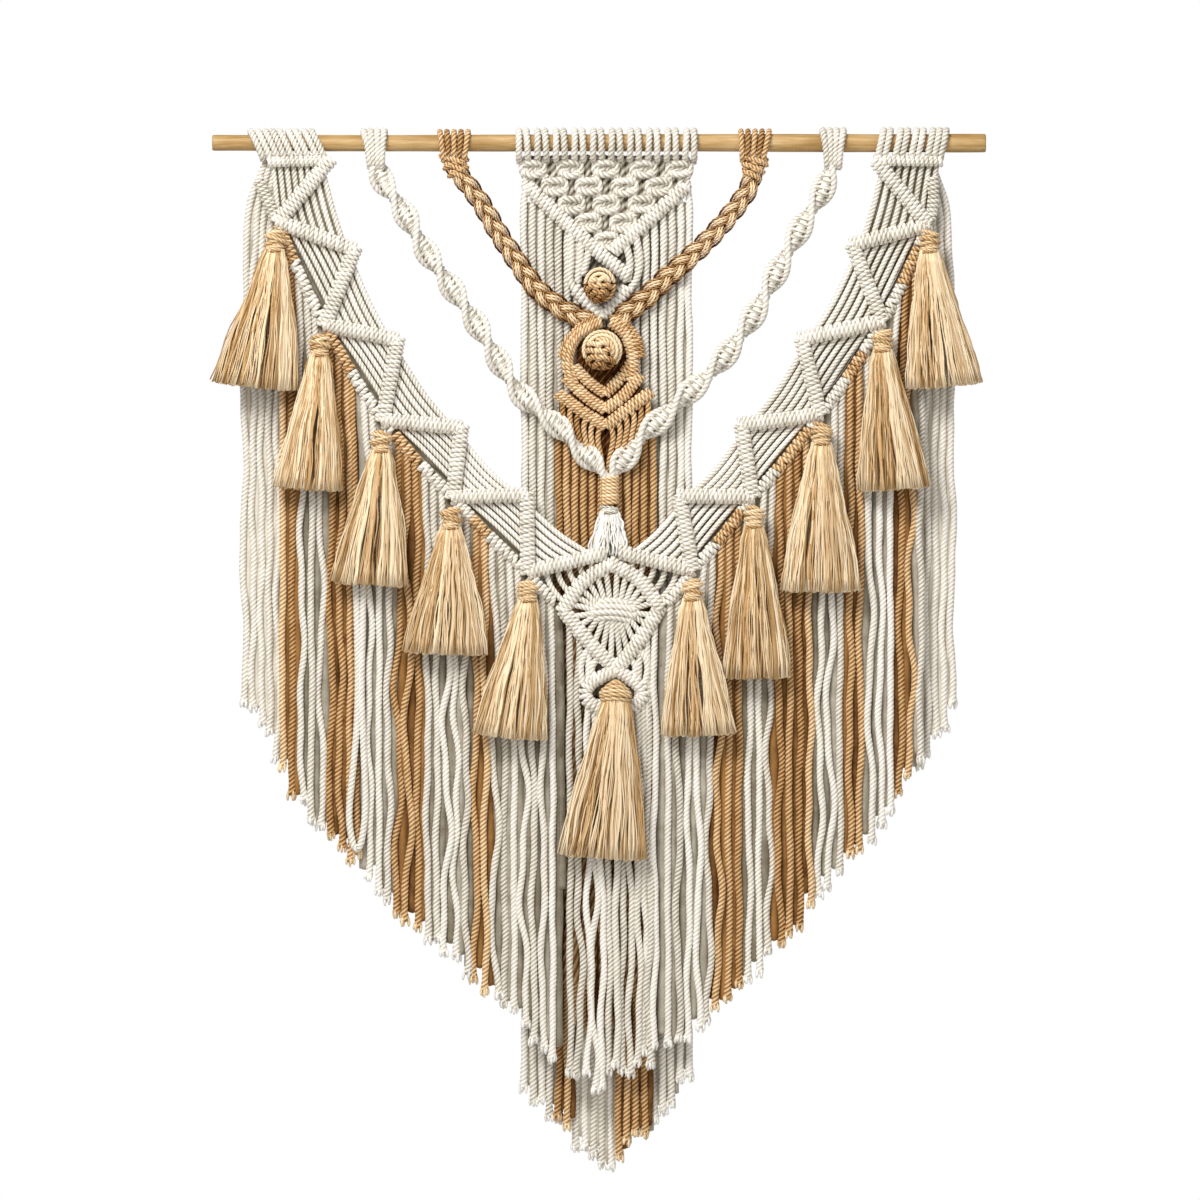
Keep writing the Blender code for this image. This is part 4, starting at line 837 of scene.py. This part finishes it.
def makePanel():
    skein = Skein()
    y = panel["depth"]
    cords = 2 * panel["loops"]
    xs = []
    for cord in range(cords):
        loop, half = (cord // 2 - (panel["loops"] - 1) / 2) * panel["pitch"] + panel["centre"], cord % 2 - 0.5
        xs.append(loop + panel["cordPitch"] * half)
        rodLeg(skein, loop + panel["legPitch"] * half, xs[-1] * 0.99, -11.5, y - 1.4, radius=2.3)
    makeNet(skein, xs)
    for x in np.arange(-52.0, 53.0, 5.6):  # the smooth rear cords that close the net
        # a little darker, as painted shade in the net's holes
        plumb(skein, x, y + 4.0, -8.5, min(vHeight(x) + 2, -18), 3.3, -0.05)
    for x in np.arange(-20.0, 16.0, 5.0):  # dark cords behind the upper berry
        # painted shade: dark cords where only shade lies behind the berry
        plumb(skein, x, y + 5.0, vHeight(x) + 3, -112.0, 3.2, -0.2)
    for arm in panel["arms"]:
        bar(skein, [(x, y - 2.0 - 0.02 * abs(z), z) for x, z in arm], around=3.8, slant=0.25, tone=0.65)
    for arm in panel["smallArms"]:
        bar(skein, standing(arm, -2.6), pitch=3.6, around=3.2, cord=1.9, tone=0.7)
    for loop in panel["berryLoops"]:
        skein.follow(standing(loop, y - 3.4), 2.7, tone=0.6)
    for cord in range(cords):
        x = narrow(xs[cord], -60)
        inner, under = cord in panel["inner"], cord in panel["underBerry"]
        depth = panel["rear"] if inner else y
        hem = between(hanging["rearHem"], x) + vary(-5, 5)
        root = panel["berryRoot"] if under else vHeight(x)
        path = [(x + 0.14 * (panel["apex"][0] - x), y + 0.5, root + 1), (x, y - 0.3, root - 7)]
        if not under:
            path.append((x, y, min(root - 30, -100)))
        path += [(x, depth * 0.4 + y * 0.6, -150), (x, depth, -230), (x, depth, -400), (x, depth, hem)]
        strand(skein, path, wander=0.6, radius=2.6, hidden=hanging["covered"])
        if cord < cords - 1:
            heights = (min(root - 2, -40), -300, hem + vary(0, 12))
            rear = [(x + 3.0, depth + (0.9 if inner else 3.4), z) for z in heights]
            # a rear cord behind each gap, with painted shade on its near side
            strand(skein, rear, 0.3, 0.6, step=4.2, frayed=False, shaded=1.15)
    skein.piece("panel_centre", "cream_cotton")


# Berry knots
# The lightness paints light on the upper arcs and knots and shade on the lower ones
berries = {  # arcs: reach, from, to, lightness. Lumps: across, up, lightness
    "upper": {
        "centre": (-4.9, -9, -95), "size": (11, 12.2, 9), "cord": 1.45,
        "arcs": ((0.94, 10, 175, 1.4), (0.66, 15, 170, 1.7), (0.95, -70, 0, 0.4), (0.95, 185, 290, -0.2)),
        "lumps": ((-0.35, 0.2, 1.2), (0.15, 0.25, 1.5), (-0.5, -0.15, 0.5), (-0.05, -0.12, 0.8),
                  (0.42, -0.1, 0.5), (-0.25, -0.5, 0.2), (0.2, -0.5, 0.3), (0, -0.8, -0.1)),
    },
    "lower": {
        "centre": (-3.3, -12, -138.3), "size": (13.8, 13.8, 10.5), "cord": 1.5,
        "arcs": ((0.96, -48, 205, 1.4), (0.77, -40, 160, 1.7), (0.57, -30, 120, 1.1), (0.96, 212, 305, -0.1)),
        "lumps": ((-0.4, 0.3, 1.3), (0, 0.28, 1.5), (-0.5, -0.05, 0.8), (-0.1, -0.08, 1), (0.25, -0.12, 0.7),
                  (-0.4, -0.42, 0.6), (0.02, -0.45, 0.8), (0.35, -0.5, 0.2), (-0.15, -0.78, 0.2)),
    },
}


def makeBerry(name):
    skein = Skein()
    plan = berries[name]
    cx, cy, cz = plan["centre"]
    wide, tall, deep = plan["size"]

    def onBall(u, v, lift=0.0):
        # u and v run from -1 to 1 across and up the front of the ball
        rho = min(hypot(u, v), 1.0)
        return (cx + wide * u * 0.92, cy - (deep + lift) * sqrt(1 - rho * rho * 0.96), cz + tall * v * 0.92)

    steps = np.linspace(-0.99, 0.99, 14)
    # a dark core: painted shade in the gaps between the knots and arcs
    skein.cord(stem(cx, cy, cz + steps * tall * 0.88), deep * 0.82 * np.sqrt(1 - steps ** 2),
               sides=16, relief=0, tone=-1.0)
    for u, v, tone in plan["lumps"]:  # the knots of the rolled sinnet, seen end on
        lean = vary(-0.12, 0.12)
        path = [onBall(u - 0.29, v - 0.1 - lean, -1.2), onBall(u - 0.14, v + 0.04, 1.1),
                onBall(u + 0.13, v + 0.05 + lean, 1.3), onBall(u + 0.29, v - 0.1 + lean, -1.2)]
        skein.follow(path, plan["cord"] * 1.3, 1.0, tone=tone)
    for reach, start, end, tone in plan["arcs"]:
        angles = np.radians(np.linspace(start, end, 14))
        lifts = [-1.2] + [1.0] * 12 + [-1.2]  # both ends dip into the ball
        path = [onBall(reach * cos(a), reach * sin(a), lift) for a, lift in zip(angles, lifts)]
        skein.follow(path, plan["cord"], 1.5, tone=tone)
    for lift in (1.0, 3.6, 6.2):  # rings that close the ball behind
        share = 0.86 - 0.03 * lift
        ring = [(cx + wide * share * cos(a), cy + lift, cz + tall * share * sin(a))
                for a in np.linspace(0, 2 * pi, 28, endpoint=False)]
        # darkened with painted shade
        skein.cord(ring, 1.9, closed=True, tone=-0.9)
    skein.piece("berry_" + name, "brown_cotton")


# Brown diamond
diamond = {
    "x": -1, "depth": -5.4, "cords": 12, "topPitch": 4.7, "pitch": 5.75,
    "short": -590, "long": (0, 1, 7, 8, 9, 10),  # hem of the short strands, and the long ones
    "bars": (  # how stout the bar is, how far forward it lies, and its line
        (1.9, 1.2, ((-4.7, -119.6), (-18.6, -128), (-24.8, -138.5), (-26, -150), (-23.5, -158))),
        (1.9, 1.2, ((3.3, -119.6), (12.4, -128), (16.4, -138.5), (17.2, -149), (17, -157))),
        (1.1, 0.6, ((-9, -116.5), (-19.5, -124.5), (-27.5, -134.5), (-29.5, -143))),
        (1.1, 0.6, ((7.5, -117.5), (15, -124), (20.5, -132), (22.5, -142))),
        (1.7, 0.6, ((-21.5, -149.5), (-12, -159.5), (-1.3, -167))),
        (1.7, 0.6, ((15.5, -147.5), (8, -158), (-1, -167))),
        (1.8, 1.6, ((-26.5, -157.5), (-13.2, -170), (-1.3, -177.6))),
        (1.8, 1.6, ((21.5, -156), (10.4, -169.2), (-1, -177.6))),
        (1.9, 2.2, ((-32, -167.5), (-15, -180), (-1, -188.6))),
        (1.9, 2.2, ((28.5, -166.5), (12.4, -178.6), (-0.4, -188.6))),
    ),
    "edge": ((-30, -167), (-15, -180.5), (-1, -190.5), (12.4, -179), (28, -166)),  # where strands leave
}


def underSpirals(away):
    # The height at which the spirals cover the cords, for a distance from the diamond's middle
    return -189.0 - 1.1 * (31.6 - away)


def makeBrownDiamond():
    skein = Skein()
    x0, y, rest, count = diamond["x"], diamond["depth"], panel["depth"], diamond["cords"]
    for around, forward, line in diamond["bars"]:
        bar(skein, standing(line, y - forward), pitch=2.7, around=around * 1.35 + 0.6, cord=1.42,
            slant=0.3 if line[0][0] > x0 else -0.3, tone=0.5 if around < 1.5 else 0.85)
    for cord in range(count):
        place = cord - (count - 1) / 2
        hand = copysign(1, place)
        x, end = x0 + place * diamond["topPitch"], x0 + place * diamond["pitch"]
        low, away = between(diamond["edge"], x), abs(x - x0)
        under = underSpirals(away)
        coreTop = -122.0 - 0.55 * away if away < 18 else (-161.0 if away < 24 else -169.0)
        # a dark core behind the chevrons: painted shade in the hollow round the lower berry
        plumb(skein, x, y + 2.6, coreTop, under, 2.7, -0.9)
        # Cords that arch out of the last chevron and gather towards the middle
        arch = [(x, y - 1, low + 2), (x + hand * 2.2, y - 1.8, low - 4), (x + hand * 2.6, y - 1.6, low - 10),
                (x + hand * 0.8, y - 0.8, low - 20), (x - hand, y + 0.5, min(low - 30, under + 2))]
        skein.follow(arch, 1.95, tone=0.5 + vary(-0.5, 0.3))
        hem = between(hanging["rearHem"], end) if cord in diamond["long"] else diamond["short"]
        hem += vary(-4, 4)
        top = underSpirals(min(abs(end - x0), 31.0))
        strand(skein, [(end, rest - 1, top), (end, rest, top - 20), (end, rest, -400), (end, rest, hem)],
               0.2 + 0.5 * vary(), 0.8, hidden=hanging["covered"])
        if cord < count - 1:
            # a rear cord behind each gap, with painted shade on its near side
            rear = [(end + 2.8, rest + back, z) for back, z in ((2.4, top), (2.6, top - 20), (2.6, hem + 6))]
            strand(skein, rear, 0.2, step=4.2, frayed=False, shaded=1.35)
    skein.piece("diamond_brown", "brown_cotton")


wrappedKnot = {"x": 1.7, "heights": (-223.4, -240), "turns": 8, "around": 5.2, "cord": 1.35}


def makeWrappedKnot():
    skein = Skein()
    for z in np.linspace(*wrappedKnot["heights"], wrappedKnot["turns"]):
        wrap(skein, (wrappedKnot["x"], spirals["depth"] - 0.6, z), upright, wrappedKnot["around"],
             wrappedKnot["cord"], 0.08, flat=0.8, segments=20, tone=vary(0.6, 1.3))
    skein.piece("wrapped_knot", "brown_cotton")


# Centre diamond
centre = {
    "corners": ((3, -280.5), (-29.3, -311.3), (6, -351), (35.3, -310)), "depth": -13.5, "spokes": 6,
    "lifts": (0.6, 0.6, 0.6, 2.2), "swells": (4.5, 1.5, 1.5, 4.5),  # of its four bars, forward and outwards
    "bundle": (4.5, -312.5), "bundleHalf": (15, 6.5),
    "bundleRows": ((5.2, 9.5, 2.6), (1.6, 13.5, 4), (-2.2, 14, 4.2), (-5.6, 11, 2.8)),
    "lowerBars": (((5, -352), (-4, -356), (-11.5, -361), (-14.4, -367), (-11.5, -373), (-6, -376.5)),
                  ((7, -352), (13, -355.5), (19.5, -360), (23.6, -365.5), (22.6, -371), (17, -376))),
    "loops": (((-4, -342), (-9, -347), (-10.2, -352), (-8, -357)),
              ((-11.5, -336), (-16, -343), (-17.6, -351), (-16, -361)),
              ((13, -342.5), (17.6, -346), (19, -351), (17, -356.5)),
              ((20, -336), (25.4, -343), (27, -351), (25, -361))),
    "underBars": ((0.12, 0.3, 0.48), (0.52, 0.7, 0.88)),  # where strands leave the lower two bars
    "underTassel": (-8.5, -4, 1, 6, 11, 16, 24, 27.5), "fanCords": 6,
}


def makeCentreDiamond():
    skein = Skein()
    y = centre["depth"]
    corners = [np.array(corner) for corner in centre["corners"]]
    sides = list(zip(corners, corners[1:] + corners[:1]))
    hub = np.array(centre["bundle"])
    wide, tall = centre["bundleHalf"]

    def flat(point, forward=0.0):
        return np.array([point[0], y - forward, point[1]])

    # Bars: the upper left one passes under the upper right one, and both swell outwards
    for (a, b), lift, swell in zip(sides, centre["lifts"], centre["swells"]):
        outwards = unit((a + b) / 2 - hub) * swell
        bar(skein, [flat(a, lift), flat((a + b) / 2 + outwards, 1.6), flat(b, 0.8)], around=3.6, cord=1.8,
            slant=0.2)
        for number in range(centre["spokes"]):
            share = (number + 0.6) / (centre["spokes"] + 0.2)
            p = a + (b - a) * share + outwards * sin(pi * share)
            angle = atan2(p[1] - hub[1], p[0] - hub[0])
            q = hub + (wide * 0.8 * cos(angle), tall * 0.7 * sin(angle))
            m = (p + q) / 2 + (0.0, 0.6 if swell > 2 else -0.6)
            skein.follow([flat(p), flat(m, 0.8), flat(q, 1.2), flat((q + hub) / 2, 0.5)], 2.1)
    for rise, half, forward in centre["bundleRows"]:  # arch across the bundle knot, one above the other
        path = [flat(hub + (u * half, rise + 1.9 * (1 - u * u) - 0.07 * u * half),
                     forward * (1 - 0.75 * u * u) + 0.6) for u in np.linspace(-1, 1, 9)]
        skein.follow(path, 2.2, 1.8, tone=0.7)
    # Loops under the lower corner, then the lower bars that frame the head of the tassel
    for loop in centre["loops"]:
        skein.follow(standing(loop, y - 0.8), 2.5, tone=0.8)
    for x in np.arange(-14.0, 26.0, 4.5):  # dark cords behind them
        # painted shade: dark cords where only shade lies behind the loops
        plumb(skein, x, y + 4.5, -340.0, -368.0, 2.8, -1.2)
    for line in centre["lowerBars"]:
        bar(skein, standing(line, y - 1.2), around=3.4, cord=1.75, slant=0.15, tone=0.8)
    tops = []
    for (a, b), shares in zip(sides[1:3], centre["underBars"]):
        tops += [a + (b - a) * share for share in shares]
    tops += [(x, -373.0) for x in centre["underTassel"]]
    for x, z in tops:
        hem = between(hanging["frontHem"], x) + vary(-5, 9)
        ahead, shift = y + vary(-2.0, 1.5), x + vary(-1.0, 1.0)
        strand(skein, [(x, y, z), (x, y, z - 8), (shift, ahead, (z + hem) / 2), (shift, ahead, hem)],
               wander=vary(0.8, 2.4))
    # Fans between the last bars of the bands and the upper bars
    for side, out, corner in (("left", -1, corners[1]), ("right", 1, corners[3])):
        table = sorted(bands[side]["corners"][-2:])
        for number in range(centre["fanCords"]):
            p = corners[0] + (corner - corners[0]) * ((number + 0.9) / 6.4)
            topX = p[0] + out * (1.5 + 2.6 * number)
            topZ = between(table, topX)
            middle = ((p[0] + topX) / 2 + out * 0.12 * (topZ - p[1]), (p[1] + topZ) / 2)
            skein.follow([flat(p, -0.8), flat(middle, -0.4), flat((topX, topZ), -0.8)], 2.15)
    skein.piece("diamond_centre", "cream_cotton")


makeRod()
makePanel()
for side in ("left", "right"):
    makeBand(side)
    makeFringe(side)
    makeBraid(side)
    makeSpiral(side)
for name in berries:
    makeBerry(name)
makeBrownDiamond()
makeWrappedKnot()
makeCentreDiamond()
for name, *place in tassels["places"]:
    look = {**tassels["gold"], **(tassels["centre"] if name == "centre" else {})}
    makeTassel(name, *place, bandDepth(place[1]) - tassels["ahead"], look)
makeTassel(*tassels["smallPlace"], tassels["smallDepth"], tassels["small"])
print(f"all pieces: {sum(triangles)} triangles")


# Camera, light and floor
studio = {
    "distance": 8, "frame": 0.8, "centre": (-0.00467, -0.30467), "floor": -1.15,  # metres
    "lights": (("keyLight", (-0.8, -1.7, 1.3), 1, 54), ("fillLight", (1.8, -2.2, -0.2), 1.6, 7)),
    "sky": (-0.3, 0.35, 0.62, 0.1), "below": (-0.5, 0.4, 0.3, 1.0),  # from, to, and the light at both
}


def makeStudio():
    scene = bpy.context.scene
    camera = bpy.data.objects.new("camera", bpy.data.cameras.new("camera"))
    scene.collection.objects.link(camera)
    x, z = studio["centre"]
    camera.location = (x, -studio["distance"], z)
    camera.rotation_euler = (radians(90), 0, 0)
    camera.data.sensor_width = 36
    camera.data.lens = 36 * studio["distance"] / studio["frame"]
    scene.camera = camera
    scene.view_settings.view_transform = "Standard"
    for name, place, size, power in studio["lights"]:
        lamp = bpy.data.lights.new(name, "AREA")
        lamp.size, lamp.energy = size, power
        made = bpy.data.objects.new(name, lamp)
        made.location = place
        aim = np.array([x, 0, z]) - place
        made.rotation_euler = (atan2(hypot(aim[0], aim[1]), -aim[2]), 0, atan2(-aim[0], aim[1]))
        scene.collection.objects.link(made)
    world = bpy.data.worlds.new("whiteRoom")
    world.use_nodes = True
    scene.world = world
    tree = world.node_tree
    seen = addNode(tree, "LightPath").outputs["Is Camera Ray"]
    sides = addNode(tree, "SeparateXYZ", {0: addNode(tree, "TexCoord").outputs["Generated"]}).outputs
    room, rise = (addNode(tree, "MapRange", dict(enumerate((sides[axis], *studio[fall])))).outputs[0]
                  for axis, fall in (("Y", "sky"), ("Z", "below")))
    room = addNode(tree, "Math", {0: room, 1: rise}, operation="MULTIPLY").outputs[0]
    strength = addNode(tree, "Mix", {0: seen, 2: room, 3: 1.0}, data_type="FLOAT").outputs[0]
    tree.links.new(strength, tree.nodes["Background"].inputs["Strength"])
    tree.nodes["Background"].inputs["Color"].default_value = (1, 1, 1, 1)
    floorMaterial, tree, shader = newMaterial("matFloorPaint")  # pale matt paint, barely mottled
    place = addNode(tree, "TexCoord").outputs["Object"]
    mottle = addNode(tree, "TexNoise", {"Vector": place, "Scale": 8.0}).outputs["Fac"]
    tree.links.new(addRamp(tree, mottle, ((0.3, "E9E7E3"), (0.7, "EFEEEA"))), shader.inputs["Base Color"])
    shader.inputs["Roughness"].default_value = 0.9
    mesh = bpy.data.meshes.new("floor")
    mesh.from_pydata([(-3, -3, 0), (3, -3, 0), (3, 3, 0), (-3, 3, 0)], [], [(0, 1, 2, 3)])
    floor = bpy.data.objects.new("floor", mesh)
    floor.location.z = studio["floor"]
    mesh.materials.append(floorMaterial)
    scene.collection.objects.link(floor)


makeStudio()
